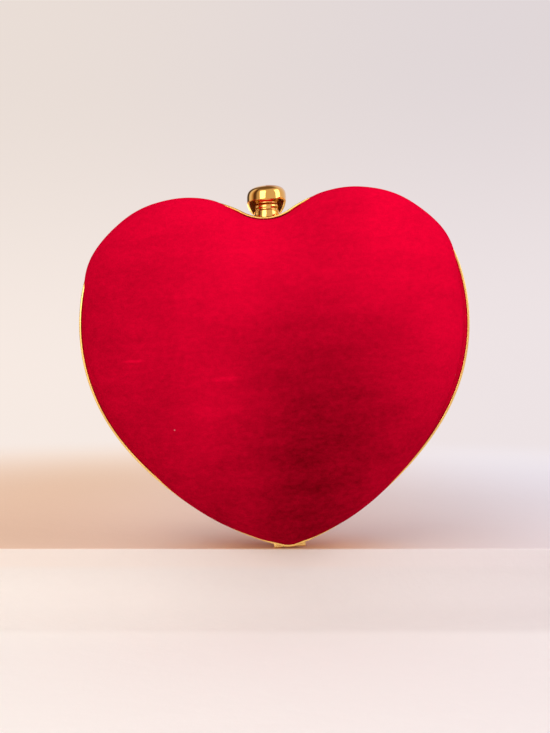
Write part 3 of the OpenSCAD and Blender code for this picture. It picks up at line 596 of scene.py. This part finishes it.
def layerFace(path, seatDrop, wallDrop, edges, moved):
    # one face of a layer: rings at its edge, each (further in than the seat, depth), then the rings
    # of its wall and dome, of which the last ones are moved
    rings = layerRings(path, seatDrop, wallDrop)
    rings[len(rings) - len(moved):] += moved
    edgeRings = [edgeRing(path, case["seat"] + further, depth) for further, depth in edges]
    return np.concatenate(edgeRings + [rings])


def makeSkin(name, outer, inner, outerTip, innerTip, back):
    # a closed solid between two stacks of rings that start at its edge and end in crown points
    n, a, b = outer.shape[1], len(outer), len(inner)
    points = np.concatenate([outer.reshape(-1, 3), inner.reshape(-1, 3), [outerTip, innerTip]])
    if back:
        points = points * [1, -1, 1]
    outside, _ = gridFaces(a, n)
    inside, _ = gridFaces(b, n, a * n)
    k = np.arange(n)
    rim = np.stack([k, a * n + k, a * n + (k + 1) % n, (k + 1) % n], 1)
    poles = fanFaces((a - 1) * n, n, (a + b) * n), fanFaces((a + b - 1) * n, n, (a + b) * n + 1)[:, ::-1]
    return makePiece(name, points, [outside, inside[:, ::-1], rim, poles[0], poles[1]])


fullPath = outline(cover["count"])
thinPath = {key: value[::cover["hiddenStep"]] if isinstance(value, np.ndarray) else value
            for key, value in fullPath.items()}
domeAngles = domeSteps(cover["domeRings"])
faceGrid = layerRings(fullPath, None, 0)  # the velvet's face, from its widest ring up

# The foam's push on the velvet. The hold fades from 1 at the rim to 0 over holdFade about the depth
# hold; each point is held by the largest of the hold shares that it reaches, or not at all.
clothing = dict(voxel=4.5, pressure=4.0, frames=20, cap=1.3, spread=5.0, start=0.6, startDepth=18,
                hold=9.5, holdFade=2.0, holdWall=1.0, holdShares=(0.3, 1.0), rowStep=3, columnStep=4,
                faceFrom=1.5, fade=9, shrinkFront=-0.015, shrinkBack=-0.012)
fabric = {"quality": 6, "mass": 0.25, "tension_stiffness": 18, "compression_stiffness": 18,
          "shear_stiffness": 6, "bending_stiffness": 0.15, "use_pressure": True,
          "uniform_pressure_force": clothing["pressure"], "vertex_group_mass": "held"}


def vertexPlaces(piece):
    places = np.zeros(len(piece.data.vertices) * 3)
    piece.data.vertices.foreach_get("co", places)
    return places.reshape(-1, 3) / mm


def clothPad():
    # the face, a little smaller, closed with a flat back and remeshed evenly
    c = clothing
    small = faceGrid.copy()
    small[..., 1] += c["start"] * np.clip((-faceGrid[..., 1] - case["wallStart"]) / c["startDepth"], 0, 1)
    coarse = small[::c["rowStep"], ::c["columnStep"]]
    rings, m = coarse.shape[:2]
    points = np.concatenate([coarse.reshape(-1, 3),
                             [[0, -case["crownDepth"] + c["start"], case["crownHeight"]],
                              [0, -case["wallStart"], case["crownHeight"]]]])
    grid, _ = gridFaces(rings, m)
    pad = makePiece("clothPad", points, [grid, fanFaces((rings - 1) * m, m, rings * m),
                                         fanFaces(0, m, rings * m + 1)[:, ::-1]])
    remesh = pad.modifiers.new("remesh", "REMESH")
    remesh.mode = "VOXEL"
    remesh.voxel_size = c["voxel"] * mm
    bake(pad)
    return pad


def clothSwell(back):
    # The pad is blown up as cloth with its rim held, and how far its points moved is carried to the
    # face's own grid by weights exp(-(distance / spread)^2), less the mean swell, so that the crown
    # keeps its depth.
    c = clothing
    pad = clothPad()
    rest = vertexPlaces(pad)
    depth = -rest[:, 1]
    held = pad.vertex_groups.new(name="held")
    weights = np.clip((c["hold"] - depth) / c["holdFade"] + 0.5, 0, 1)
    weights = np.where(depth < case["wallStart"] + c["holdWall"], 1, weights)
    for level in c["holdShares"]:
        held.add(np.flatnonzero(weights >= level).tolist(), level, "REPLACE")
    cloth = pad.modifiers.new("cloth", "CLOTH")
    for key, value in fabric.items():
        setattr(cloth.settings, key, value)
    cloth.settings.shrink_min = c["shrinkBack"] if back else c["shrinkFront"]
    cloth.settings.effector_weights.gravity = 0
    cloth.point_cache.frame_start = 1
    cloth.point_cache.frame_end = c["frames"]
    for frameNumber in range(1, c["frames"] + 1):
        scene.frame_set(frameNumber)
    bake(pad)
    shift = vertexPlaces(pad) - rest
    bpy.data.objects.remove(pad)
    scene.frame_set(1)
    size = np.linalg.norm(shift, axis=1, keepdims=True)
    print("cloth moved its points by up to", round(float(size.max()), 2), "mm")
    shift *= np.minimum(1, c["cap"] / np.maximum(size, 1e-9))
    face = depth > case["wallStart"] + c["faceFrom"]
    rest, shift = rest[face], shift[face]
    rows, n = faceGrid.shape[:2]
    target = faceGrid[:, ::c["columnStep"]].reshape(-1, 3)
    distance = ((target[:, None, :] - rest[None, :, :]) ** 2).sum(-1)
    weight = np.exp(-distance / c["spread"] ** 2) + 1e-12
    carried = (weight @ shift / weight.sum(1, keepdims=True)).reshape(rows, -1, 3)
    at = np.arange(n) / c["columnStep"]
    low = np.floor(at).astype(int)
    part = (at - low)[None, :, None]
    columns = carried.shape[1]
    fine = carried[:, low % columns] * (1 - part) + carried[:, (low + 1) % columns] * part
    share = np.clip((-faceGrid[..., 1] - case["wallStart"]) / c["fade"], 0, 1)[..., None]
    return (fine - fine[rows // 2:].mean((0, 1))) * share


# Small forms that the cloth doesn't give; the flank shares say where along the outline the crease
# deepens and fades again
folds = dict(crease=0.05, flankCrease=0.22, creaseAt=5.2, creaseDrift=0.9, creaseTurns=7, creaseWide=1.5,
             frontFlankShares=(0.80, 0.86, 0.93, 0.97), backFlankShares=(0.08, 0.13, 0.24, 0.30),
             dipShare=0.055, tipShare=0.035, tipTucks=0.8, tuck=0.10, tucks=92, tuckDrift=0.7,
             driftTurns=11, tuckFrom=(0.3, 2.0), tuckTo=(5, 13),
             wave=0.11, waves=((17, 29, 1.3), (-47, 21, 0.4)), waveFrom=(3, 18), backTurn=1.9)


def handFolds(back):
    # A shallow crease where the foam ends above the rim, deeper along one flank, faint tucks fanned
    # round the dip and the tip, and long soft waves: the product of two sines, whose lengths across
    # and up and starts are in the table
    d = folds
    s = np.arange(faceGrid.shape[1]) / faceGrid.shape[1]
    away = np.linalg.norm((faceGrid - faceGrid[:1])[..., [0, 2]], axis=-1)
    start, full, to, gone = d["backFlankShares"] if back else d["frontFlankShares"]
    flank = ease(s, start, full) * (1 - ease(s, to, gone))
    line = d["creaseAt"] + d["creaseDrift"] * np.sin(2 * np.pi * d["creaseTurns"] * s)
    crease = (d["crease"] + d["flankCrease"] * flank) * np.exp(-((away - line) / d["creaseWide"]) ** 2)
    nearDip = np.exp(-((s - 0.5) / d["dipShare"]) ** 2)
    nearTip = np.exp(-(np.minimum(s, 1 - s) / d["tipShare"]) ** 2)
    fan = np.sin(2 * np.pi * d["tucks"] * s + d["tuckDrift"] * np.sin(2 * np.pi * d["driftTurns"] * s))
    fade = ease(away, *d["tuckFrom"]) * (1 - ease(away, *d["tuckTo"]))
    tucks = d["tuck"] * fan * fade * (nearDip + d["tipTucks"] * nearTip)
    x, z = faceGrid[..., 0], faceGrid[..., 2]
    turned = d["backTurn"] if back else 0.0
    one, other = (np.sin(x / across + z / up + start + turned) for across, up, start in d["waves"])
    waves = d["wave"] * one * other
    out = np.zeros_like(faceGrid)
    out[..., 1] = crease - tucks - waves * ease(away, *d["waveFrom"])
    return out


# Room for the leaves, the clasp plate and the strap eyes in velvet, shell and lining
openings = dict(clear=0.3, past=1, leafHalf=7.75, leafTop=9, plateHalf=9.9, plateDrop=9,
                eyeAngle=52, eyeReach=7.65, eyeHalf=7)


def coverBoxes(back):
    o = openings
    deep = case["bandFront"] + o["clear"]
    corners = [straightBox((-o["leafHalf"], -deep, -o["past"]),
                           (o["leafHalf"], o["past"], heart["bottom"] + o["leafTop"])),
               straightBox((-o["plateHalf"], -deep, dipZ - o["plateDrop"]),
                           (o["plateHalf"], o["past"], heart["bottom"] + heart["height"]))]
    if back:
        outward, across = heading(o["eyeAngle"]), heading(o["eyeAngle"] + 90)
        start = lobeCentre + (heart["lobe"] - o["eyeReach"]) * outward - o["eyeHalf"] * across
        reach, width = o["eyeReach"] * outward, 2 * o["eyeHalf"] * across
        for s in (-1, 1):
            edges = [(s * reach[0], 0, reach[1]), (0, deep + o["past"], 0), (s * width[0], 0, width[1])]
            corners.append(((s * start[0], -deep, start[1]), edges))
        corners = [(np.array(c) * [1, -1, 1], np.array(e) * [1, -1, 1]) for c, e in corners]
    return boxes("coverBoxes", corners)


satin = dict(gather=0.30, gathers=64, sway=1.6, swayTurns=5, gatherFrom=(0.5, 5), gatherTo=(9, 30),
             wave=0.28, waveFrom=(8, 30), waveAcross=13, waveUp=19)


def liningFolds():
    # Satin lies a little loose on the shell: shallow gathers down the wall and one soft wave
    grid = layerRings(thinPath, None, liningDrop)
    s = thinPath["run"] / thinPath["length"]
    away = np.linalg.norm((grid - grid[:1])[..., [0, 2]], axis=-1)
    sway = satin["sway"] * np.sin(2 * np.pi * satin["swayTurns"] * s)
    gather = np.sin(2 * np.pi * satin["gathers"] * s + sway)
    wave = np.sin(grid[..., 0] / satin["waveAcross"] + grid[..., 2] / satin["waveUp"])
    out = np.zeros_like(grid)
    out[..., 1] = (satin["gather"] * (0.5 + 0.5 * gather) * ease(away, *satin["gatherFrom"])
                   * (1 - ease(away, *satin["gatherTo"]))
                   + satin["wave"] * (0.5 + 0.5 * wave) * ease(away, *satin["waveFrom"]))
    return out


def makeLayer(side, kind, faces, drops, moves, material, opened=True):
    # the layer between two faces, each closed at the crown by a point that lies its drop under the
    # velvet's and moves with its last ring
    back = side == "back"
    crown = np.array([0, -case["crownDepth"], case["crownHeight"]])
    tips = [crown + [0, drop, 0] + moved for drop, moved in zip(drops, moves)]
    piece = makeSkin(side + kind.title(), *faces, *tips, back)
    if opened:
        cut(piece, [coverBoxes(back)])
    return finishPiece(piece, side + "_half", side + "_" + kind, kind, material, 50)


def makeCovers(side):
    back = side == "back"
    shift = handFolds(back)
    shift = shift + clothSwell(back)
    edge, foldedEdge = case["edge"], case["edge"] + cover["hem"]
    v = cover["velvet"]
    move = shift[-1].mean(0)
    faces = [layerFace(fullPath, drop, drop, [(drop, edge), (drop, foldedEdge)], shift) for drop in (0, v)]
    pile = backVelvetPile if back else frontVelvetPile
    velvet = makeLayer(side, "velvet", faces, (0, v), (move, move), pile)

    thin = shift[:, ::cover["hiddenStep"]]
    inside = paddingDrop + cover["padding"]
    faces = [layerFace(thinPath, None, paddingDrop, [], thin),
             layerFace(thinPath, None, inside, [], np.minimum(thin, 0) * cover["foamFollows"])]
    padding = makeLayer(side, "padding", faces, (paddingDrop, inside), (thin[-1].mean(0), 0), paddingFoam,
                        opened=False)

    drops = shellDrop, shellDrop + cover["shell"]
    faces = [layerFace(thinPath, seat, drop, [(seat, edge)], thin[:0])
             for seat, drop in zip((shellSeat, shellSeat + cover["shell"]), drops)]
    makeLayer(side, "shell", faces, drops, (0, 0), shellPlastic)

    t, loose = cover["lining"], liningFolds()
    low, flange = cover["liningEdge"], edge - cover["glue"]
    outerEdges, innerEdges = [(0, low), (0, flange), (liningSeat, flange)], [(liningSeat + t, low)]
    faces = [layerFace(thinPath, liningSeat, liningDrop, outerEdges, loose),
             layerFace(thinPath, liningSeat + t, liningDrop + t, innerEdges, loose)]
    move = loose[-1].mean(0)
    lining = makeLayer(side, "lining", faces, (liningDrop, liningDrop + t), (move, move), liningSatin)


for side in ("front", "back"):
    makeCovers(side)
    print(side, "covers made")

# Clasp: a tilting hood over a post, and the spring that holds it down. Heights are over the dip.
clasp = dict(width=16.7, belt=7.6, crown=5.6, taper=8.9, lean=2.6, wall=1.0, foot=1.5, lip=6.6,
             tilt=25, power=3.1, turns=128, lowSteps=22, crownSteps=34, pivotY=2.7, pivotH=2.0,
             pinR=0.7, softness=0.11, mouthBack=0.3, reach=20, below=4)
# Knots of the post's side are (height, radius): foot, collar, groove, column and neck
post = dict(knots=[(-2, 5.65), (0.1, 5.6), (2.2, 5.35), (3.1, 5.0), (4.0, 5.15), (5.8, 4.85), (6.9, 5.4)],
            steps=90, headSteps=24, height=8.4, play=0.7, ledge=0.1, softness=0.10, reach=9, above=12,
            rimSteps=360, bandInset=0.45, bandDepths=(-1, 8), beadInset=-0.05, beadDepths=(-1.2, 1.55))
spring = dict(wire=0.4, turns=3, leg=2.2, sides=14, steps=40, legSteps=8, earGap=5.4, lever=2.6,
              leverT=1.4, run=0.3, fit=0.05)


def hoodProfile(wall):
    # radius and height: an ellipse below the widest line, a superellipse above it
    r, c = clasp["width"] / 2 - wall, clasp["crown"] - wall
    low = np.linspace(clasp["foot"], clasp["belt"], clasp["lowSteps"])[:-1]
    a = np.linspace(0, np.pi / 2, clasp["crownSteps"])
    radius = np.append(r * np.sqrt(1 - ((clasp["belt"] - low) / clasp["taper"]) ** 2),
                       r * np.clip(np.cos(a), 0, 1) ** (2 / clasp["power"]))
    height = np.append(low, clasp["belt"] + c * np.sin(a) ** (2 / clasp["power"]))
    radius[-1] = 0
    return np.column_stack([radius, height])


def revolve(name, profile):
    # a profile of (radius, height) from pole to pole, turned about the upright line through the dip,
    # then sheared sideways by the tangent of the lean
    turns = clasp["turns"]
    a = 2 * np.pi * np.arange(turns) / turns
    middle = profile[1:-1]
    shear = np.tan(np.radians(clasp["lean"]))
    points = np.stack([middle[:, :1] * np.cos(a) + middle[:, 1:2] * shear, middle[:, :1] * np.sin(a),
                       dipZ + np.broadcast_to(middle[:, 1:2], (len(middle), turns))], -1).reshape(-1, 3)
    poles = [[profile[k, 1] * shear, 0, dipZ + profile[k, 1]] for k in (0, -1)]
    walls, _ = gridFaces(len(middle), turns)
    first, last = len(points), len(points) + 1
    caps = [fanFaces(0, turns, first)[:, ::-1], fanFaces((len(middle) - 1) * turns, turns, last)]
    return makePiece(name, np.concatenate([points, poles]), [walls, *caps])


tiltCos, tiltSin = heading(clasp["tilt"])


def makeHood():
    # the mouth lets the post in, and the relief under the back lies level when the hood is tilted
    big = clasp["reach"]
    hood = revolve("claspHood", np.concatenate([hoodProfile(0)[::-1], hoodProfile(clasp["wall"])]))
    mouth = boxes("mouth", [straightBox((-big, -big, dipZ - clasp["below"]),
                                        (big, clasp["mouthBack"], dipZ + clasp["lip"]))])
    corner = (-big, clasp["pivotY"] + big * tiltSin, dipZ + clasp["foot"] - big * tiltCos)
    wedge = boxes("tiltRelief", [(corner, [(2 * big, 0, 0), (0, big * tiltCos, big * tiltSin),
                                           (0, -big * tiltSin, big * tiltCos)])])
    cut(hood, [mouth, wedge])
    softenEdges(hood, clasp["softness"], 40, 3)
    finishPiece(hood, "hood", "clasp_hood", "gold_clasp", claspGilt, 38)


def makePost():
    # From knot to knot the radius eases as 3 t^2 - 2 t^3; the head over the ledge is a quarter ellipse
    p, reach = post, post["reach"]
    footH, ledgeH = p["knots"][0][0], p["knots"][-1][0]
    h = np.linspace(footH, ledgeH, p["steps"])
    radius = np.full(len(h), p["knots"][0][1])
    for (h0, r0), (h1, r1) in zip(p["knots"], p["knots"][1:]):
        radius += (r1 - r0) * ease(h, h0, h1)
    a = np.linspace(0, np.pi / 2, p["headSteps"])
    headR = clasp["width"] / 2 - clasp["wall"] - p["play"]
    headH = ledgeH + p["ledge"]
    head = np.column_stack([headR * np.cos(a), headH + (p["height"] - headH) * np.sin(a)])
    head[-1, 0] = 0
    made = revolve("claspPost", np.concatenate([[[0, footH]], np.column_stack([radius, h]), head]))
    rim = outline(p["rimSteps"])
    cut(made, [
        boxes("flatBack", [straightBox((-reach, -case["seam"], dipZ - clasp["below"]),
                                       (reach, reach, dipZ + p["above"]))]),
        prism("bandRoom", ring(rim, p["bandInset"]), *p["bandDepths"]),
        prism("beadRoom", ring(rim, p["beadInset"]), *p["beadDepths"])])
    softenEdges(made, p["softness"], 40, 2)
    finishPiece(made, "front_half", "clasp_post", "gold_clasp", claspGilt, 38)


def tube(name, path, radius, sides):
    # circles of the wire's radius square to its path; the ends are closed by flat caps
    ahead = unit(np.gradient(path, axis=0))
    u = unit(np.cross(ahead, [1, 0, 0]))
    v = np.cross(ahead, u)
    a = 2 * np.pi * np.arange(sides)[:, None] / sides
    points = path[:, None] + radius * (u[:, None] * np.cos(a) + v[:, None] * np.sin(a))
    walls, _ = gridFaces(len(path), sides)
    last = (len(path) - 1) * sides
    return makePiece(name, points.reshape(-1, 3),
                     [walls, np.arange(sides)[None, ::-1], np.arange(last, last + sides)[None]])


def makeSpring():
    # Wound round the pin, or round the lever's end where that is thicker: a leg lies along the tilt
    # of the lever, and the foot stands on the frame's dip
    s, half = spring, spring["earGap"] / 2
    coilR = max(clasp["pinR"], s["leverT"] / 2) + s["fit"] + s["wire"] / 2
    x0 = -half + 2 * s["run"] + s["lever"] + s["wire"] / 2
    x1 = half - s["run"] - s["wire"] / 2
    t = np.linspace(0, 1, s["steps"] * s["turns"])
    start = clasp["tilt"] - 90
    angle = np.radians(start - (360 * s["turns"] + start) * t)
    coil = np.column_stack([x0 + (x1 - x0) * t, clasp["pivotY"] + coilR * np.cos(angle),
                            dipZ + clasp["pivotH"] + coilR * np.sin(angle)])
    legEnd = coil[0] + s["leg"] * np.array([0, tiltCos, tiltSin])
    rimZ = dipCentre[1] - np.sqrt((heart["dip"] + frameBand["beadOut"]) ** 2 - x1 ** 2)
    foot = np.array([x1, clasp["pivotY"] + coilR, rimZ + s["fit"]])
    along = np.linspace(0, 1, s["legSteps"])[:, None]
    path = np.concatenate([legEnd + (coil[0] - legEnd) * along[:-1], coil,
                           coil[-1] + (foot - coil[-1]) * along[1:]])
    wireSpring = tube("claspSpring", path, s["wire"] / 2, s["sides"])
    finishPiece(wireSpring, None, "clasp_spring", "steel", drawnSteel, 50)
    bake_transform(wireSpring)


makeHood()
makePost()
makeSpring()
print("clasp made")

# Small metal parts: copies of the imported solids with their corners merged, their flat faces made
# whole and their edges softened; the sizes are in millimetres and degrees
fittingEdge = dict(merge=0.002, flat=1.0, sharp=42, shade=35)
gold, steel = ("gold_hardware", fittingGilt), ("steel", drawnSteel)
fittings = dict(
    frontHingeLeaf=("front_hinge_leaf", "front_half", gold, 0.10),
    backHingeLeaf=("back_hinge_leaf", "back_half", gold, 0.10),
    frontHingeRivets=("front_hinge_rivets", "front_half", gold, 0.12),
    backHingeRivets=("back_hinge_rivets", "back_half", gold, 0.12),
    hingePin=("hinge_pin", "back_half", steel, 0.10),
    claspBracket=("clasp_bracket", "back_half", gold, 0.08),
    claspRivets=("clasp_rivets", "back_half", gold, 0.12),
    claspPin=("clasp_pin", "back_half", steel, 0.10),
    leftStrapEye=("left_strap_eye", "back_half", gold, 0.12),
    rightStrapEye=("right_strap_eye", "back_half", gold, 0.12),
    strapEyeRivets=("strap_eye_rivets", "back_half", gold, 0.12),
    postScrew=("post_screw", "front_half", steel, 0.12),
    claspLever=("clasp_lever", "hood", ("gold_clasp", claspGilt), 0.08))

for name, (node, body, metal, softness) in fittings.items():
    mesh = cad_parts[node].data.copy()
    mesh.name = name
    work = bmesh.new()
    work.from_mesh(mesh)
    bmesh.ops.remove_doubles(work, verts=work.verts, dist=fittingEdge["merge"] * mm)
    bmesh.ops.dissolve_limit(work, angle_limit=np.radians(fittingEdge["flat"]), verts=work.verts,
                             edges=work.edges)
    work.to_mesh(mesh)
    work.free()
    piece = bpy.data.objects.new(name, mesh)
    scene.collection.objects.link(piece)
    softenEdges(piece, softness, fittingEdge["sharp"], 2)
    finishPiece(piece, body, node, *metal, fittingEdge["shade"])
print("fittings made")

# Stage, lights and camera: the floor is turned by the lean at which the heart stands in the
# picture, and sinks till the hinge barrel stands on it. Colours run from left to right; fan is how
# far sideways that reaches, per length away from the camera's side.
studio = dict(lean=4.0, footX=6.7, camera=(-0.99, -450.0, 77.2), lens=51.85, sensor=36,
              wallLeft=(0.93, 0.825, 0.765), wallRight=(0.85, 0.77, 0.78), fan=0.26, fanLeast=0.3,
              fanStart=0.45, shadeRise=0.28, shade=0.12, daylight=(0.83, 0.76, 0.75), strength=0.64)
# Places in the plaster's look are in metres: from, to. Near the object it has the look of the
# board, and further away that of the wall. The board's tones hold painted light and shade: across
# they go from painted warm light at the left to painted lavender shade at the right; the top behind
# the edge carries the purse's painted shadow, orange and lavender, and a painted glow of light
# bounced from the purse; the upright front is painted darker, as painted shade against the lamps.
plaster = dict(
    across=(-0.16, 0.20), front=((0.96, 0.92, 0.87), (0.93, 0.89, 0.90)),
    upright=((0.83, 0.77, 0.72), (0.74, 0.68, 0.69)), uprightY=(-0.034, -0.010),
    behind=((0.90, 0.63, 0.46), (0.91, 0.86, 0.93)), behindY=(-0.0016, -0.0008),
    bounceGlow=(0.98, 0.60, 0.40), bounceGlowAway=(0.008, 0.06), bounceGlowShare=0.6,
    wallAway=(0.25, 0.70), glowAway=(0.12, 0.55), grain=90, grainDepth=0.0004)
turnBack = np.radians(studio["lean"])


def leaned(x, y, z):
    # a point of the level room in the object's frame: x cos + z sin, y, z cos - x sin of the lean
    cosine, sine = np.cos(turnBack), np.sin(turnBack)
    return x * cosine + z * sine, y + 0 * z, z * cosine - x * sine


def wallColour(tree, sideways, ahead):
    fan = calc(tree, "DIVIDE", sideways, calc(tree, "MAXIMUM", ahead, studio["fanLeast"]))
    return mixColour(tree, remap(tree, fan, -studio["fan"], studio["fan"]),
                     studio["wallLeft"], studio["wallRight"])


def seenRays(tree):
    # 1 for rays of the camera, of gloss and of glass
    rays = addNode(tree, "ShaderNodeLightPath").outputs
    seen = calc(tree, "MAXIMUM", rays["Is Camera Ray"], rays["Is Glossy Ray"])
    return calc(tree, "MAXIMUM", seen, rays["Is Transmission Ray"])


def stageMaterial(name):
    # Pale plaster: the board's top carries a painted shadow of the purse and a painted warm glow of
    # light bounced from it by the object, and turns to the pale tone of the wall further back, where
    # it is seen as bright as the world, so that no horizon shows. The board's front is painted darker,
    # a painted shade against the lamps it faces, so that its edge hardly shows.
    material, tree, shader, place = startMaterial(name, Roughness=0.8, Specular_IOR_Level=0.1)
    spot = addNode(tree, "ShaderNodeSeparateXYZ", {"Vector": place}).outputs
    away = vectorMath(tree, "LENGTH", place)["Value"]
    wall = wallColour(tree, spot["X"], calc(tree, "ADD", spot["Y"], studio["fanStart"]))
    across = remap(tree, spot["X"], *plaster["across"])
    # painted light and shade across: warm light at the left, lavender shade at the right
    front, upright, behind = (mixColour(tree, across, *plaster[k]) for k in ("front", "upright", "behind"))
    # painted shade: the cove and front are darker, against the lamps they face
    front = mixColour(tree, remap(tree, spot["Y"], *plaster["uprightY"]), front, upright)
    # painted glow of light bounced from the purse, round its foot
    bounceGlow = remap(tree, away, *plaster["bounceGlowAway"], plaster["bounceGlowShare"], 0.0)
    behind = mixColour(tree, bounceGlow, behind, plaster["bounceGlow"])
    # the top behind the edge carries the purse's painted shadow
    near = mixColour(tree, remap(tree, spot["Y"], *plaster["behindY"]), front, behind)
    tone = mixColour(tree, remap(tree, away, *plaster["wallAway"]), near, wall)
    grain = bump(tree, noise(tree, place, plaster["grain"], 5, 0.6), plaster["grainDepth"])
    connect(tree, shader, Base_Color=tone, Normal=grain)
    glow = addNode(tree, "ShaderNodeEmission", {"Color": tone, "Strength": 1.0})
    share = calc(tree, "MULTIPLY", remap(tree, away, *plaster["glowAway"]), seenRays(tree))
    both = addNode(tree, "ShaderNodeMixShader", {0: share, 1: shader.outputs[0], 2: glow.outputs[0]})
    connect(tree, tree.nodes["Material Output"], Surface=both.outputs[0])
    return material


# The purse stands at the front edge of a plaster board; a cove leads down to the table before it,
# and leaves room for the front half when it hangs open
board = dict(reach=6000, edge=1.4, round=0.6, drop=29, cove=22, steps=14)


def makeFloor():
    # the board's profile of (y, z) from the back, over its rounded edge and down the cove, carried
    # across the room; both rounds are their radius times the sine and cosine of a quarter turn
    b = board
    turn = np.linspace(0, np.pi / 2, b["steps"])
    profile = np.concatenate([
        [[b["reach"], 0]],
        np.stack([-b["edge"] + b["round"] * (1 - np.sin(turn)), b["round"] * (np.cos(turn) - 1)], -1),
        np.stack([-b["edge"] - b["cove"] * (1 - np.cos(turn)),
                  -b["drop"] + b["cove"] * (1 - np.sin(turn))], -1),
        [[-b["reach"], -b["drop"]]]]) * mm
    profile[:, 1] -= studio["footX"] * mm * np.sin(turnBack)
    ends = [np.stack(leaned(x * b["reach"] * mm, profile[:, 0], profile[:, 1]), -1) for x in (-1, 1)]
    rows = len(profile)
    k = np.arange(rows - 1)
    mesh = bpy.data.meshes.new("floor")
    mesh.from_pydata(np.concatenate(ends).tolist(), [],
                     np.stack([k, k + 1, k + 1 + rows, k + rows], 1).tolist())
    mesh.polygons.foreach_set("use_smooth", np.ones(rows - 1, bool))
    mesh.materials.append(stageMaterial("paleFloor"))
    floor = bpy.data.objects.new("floor", mesh)
    scene.collection.objects.link(floor)


makeFloor()


def softLight(name, location, target, size, power, colour, mirrored=True):
    lamp = bpy.data.lights.new(name, "AREA")
    lamp.shape = "RECTANGLE"
    lamp.size, lamp.size_y = size
    lamp.energy = power
    lamp.color = colour
    made = bpy.data.objects.new(name, lamp)
    made.location = location
    made.rotation_euler = (Vector(target) - Vector(location)).to_track_quat("-Z", "Y").to_euler()
    made.visible_glossy = mirrored
    scene.collection.objects.link(made)


softLight("keyLeft", (-0.36, -0.91, 0.52), (0, 0, 0.10), (0.60, 0.78), 4.4, (1, 0.97, 0.93))
softLight("fillRight", (0.95, -0.32, 0.48), (0, 0, 0.10), (0.56, 0.84), 3.4, (0.96, 0.97, 1.0))
softLight("topSoft", (-0.45, -0.30, 1.05), (0, 0, 0.05), (0.9, 0.7), 3.0, (1, 1, 1), mirrored=False)

# What polished metal mirrors of the room, by bearing in degrees from the camera's side, minus to
# the left: dim at the camera, dark where the studio opens at both sides, pale behind, dim above
room = dict(bearings=[
    (-165, (0.83, 0.755, 0.745)), (-152, (0.09, 0.07, 0.06)), (-128, (0.07, 0.055, 0.045)),
    (-116, (0.95, 0.88, 0.80)), (-102, (0.90, 0.80, 0.66)), (-90, (0.60, 0.40, 0.26)),
    (-78, (0.10, 0.05, 0.03)), (-64, (0.14, 0.08, 0.05)), (-54, (0.60, 0.54, 0.48)),
    (0, (0.75, 0.67, 0.60)), (48, (0.62, 0.57, 0.53)), (92, (0.34, 0.30, 0.28)),
    (99, (0.06, 0.05, 0.05)), (115, (0.08, 0.06, 0.06)), (126, (0.86, 0.58, 0.54)),
    (142, (0.62, 0.46, 0.44)), (162, (0.83, 0.755, 0.745))],
    above=(0.20, 0.14, 0.10), aboveFrom=0.74, aboveFull=0.95)


def makeWorld(name):
    # The room lights the object evenly; the camera sees the wall's tones, and gloss the bearings
    world = bpy.data.worlds.new(name)
    scene.world = world
    world.use_nodes = True
    tree = world.node_tree
    daylight = tree.nodes["Background"]
    daylight.inputs["Color"].default_value = (*studio["daylight"], 1)
    daylight.inputs["Strength"].default_value = studio["strength"]
    toRoom = addNode(tree, "ShaderNodeTexCoord").outputs["Generated"]
    way = addNode(tree, "ShaderNodeSeparateXYZ", {"Vector": toRoom}).outputs
    bearing = calc(tree, "ARCTAN2", way["X"], calc(tree, "MULTIPLY", way["Y"], -1.0))
    around = addNode(tree, "ShaderNodeValToRGB", {"Fac": remap(tree, bearing, -np.pi, np.pi, kind="LINEAR")})
    stops = around.color_ramp.elements
    stops.remove(stops[1])
    for k, (angle, colour) in enumerate(room["bearings"]):
        stop = stops[0] if k == 0 else stops.new(0.5)
        stop.position, stop.color = (angle + 180) / 360, (*colour, 1)
    above = remap(tree, way["Z"], room["aboveFrom"], room["aboveFull"])
    mirrored = mixColour(tree, above, around.outputs["Color"], room["above"])
    wall = wallColour(tree, way["X"], way["Y"])
    shade = remap(tree, way["Z"], 0.0, studio["shadeRise"], 0.0, studio["shade"])
    wall = mixColour(tree, shade, wall, (0, 0, 0))
    glossy = addNode(tree, "ShaderNodeLightPath").outputs["Is Glossy Ray"]
    pale = addNode(tree, "ShaderNodeBackground", {"Color": mixColour(tree, glossy, wall, mirrored),
                                                  "Strength": 1.0})
    mixed = addNode(tree, "ShaderNodeMixShader",
                    {0: seenRays(tree), 1: daylight.outputs[0], 2: pale.outputs[0]})
    connect(tree, tree.nodes["World Output"], Surface=mixed.outputs[0])


makeWorld("studioWorld")

view = bpy.data.cameras.new("camera")
view.lens = studio["lens"]
view.sensor_width = studio["sensor"]
view.clip_start = 0.01
camera = bpy.data.objects.new("camera", view)
camera.location = [k * mm for k in studio["camera"]]
camera.rotation_euler = (np.radians(90), np.radians(studio["lean"]), 0)
scene.collection.objects.link(camera)
scene.camera = camera
scene.view_settings.view_transform = "Standard"
print("stage made")
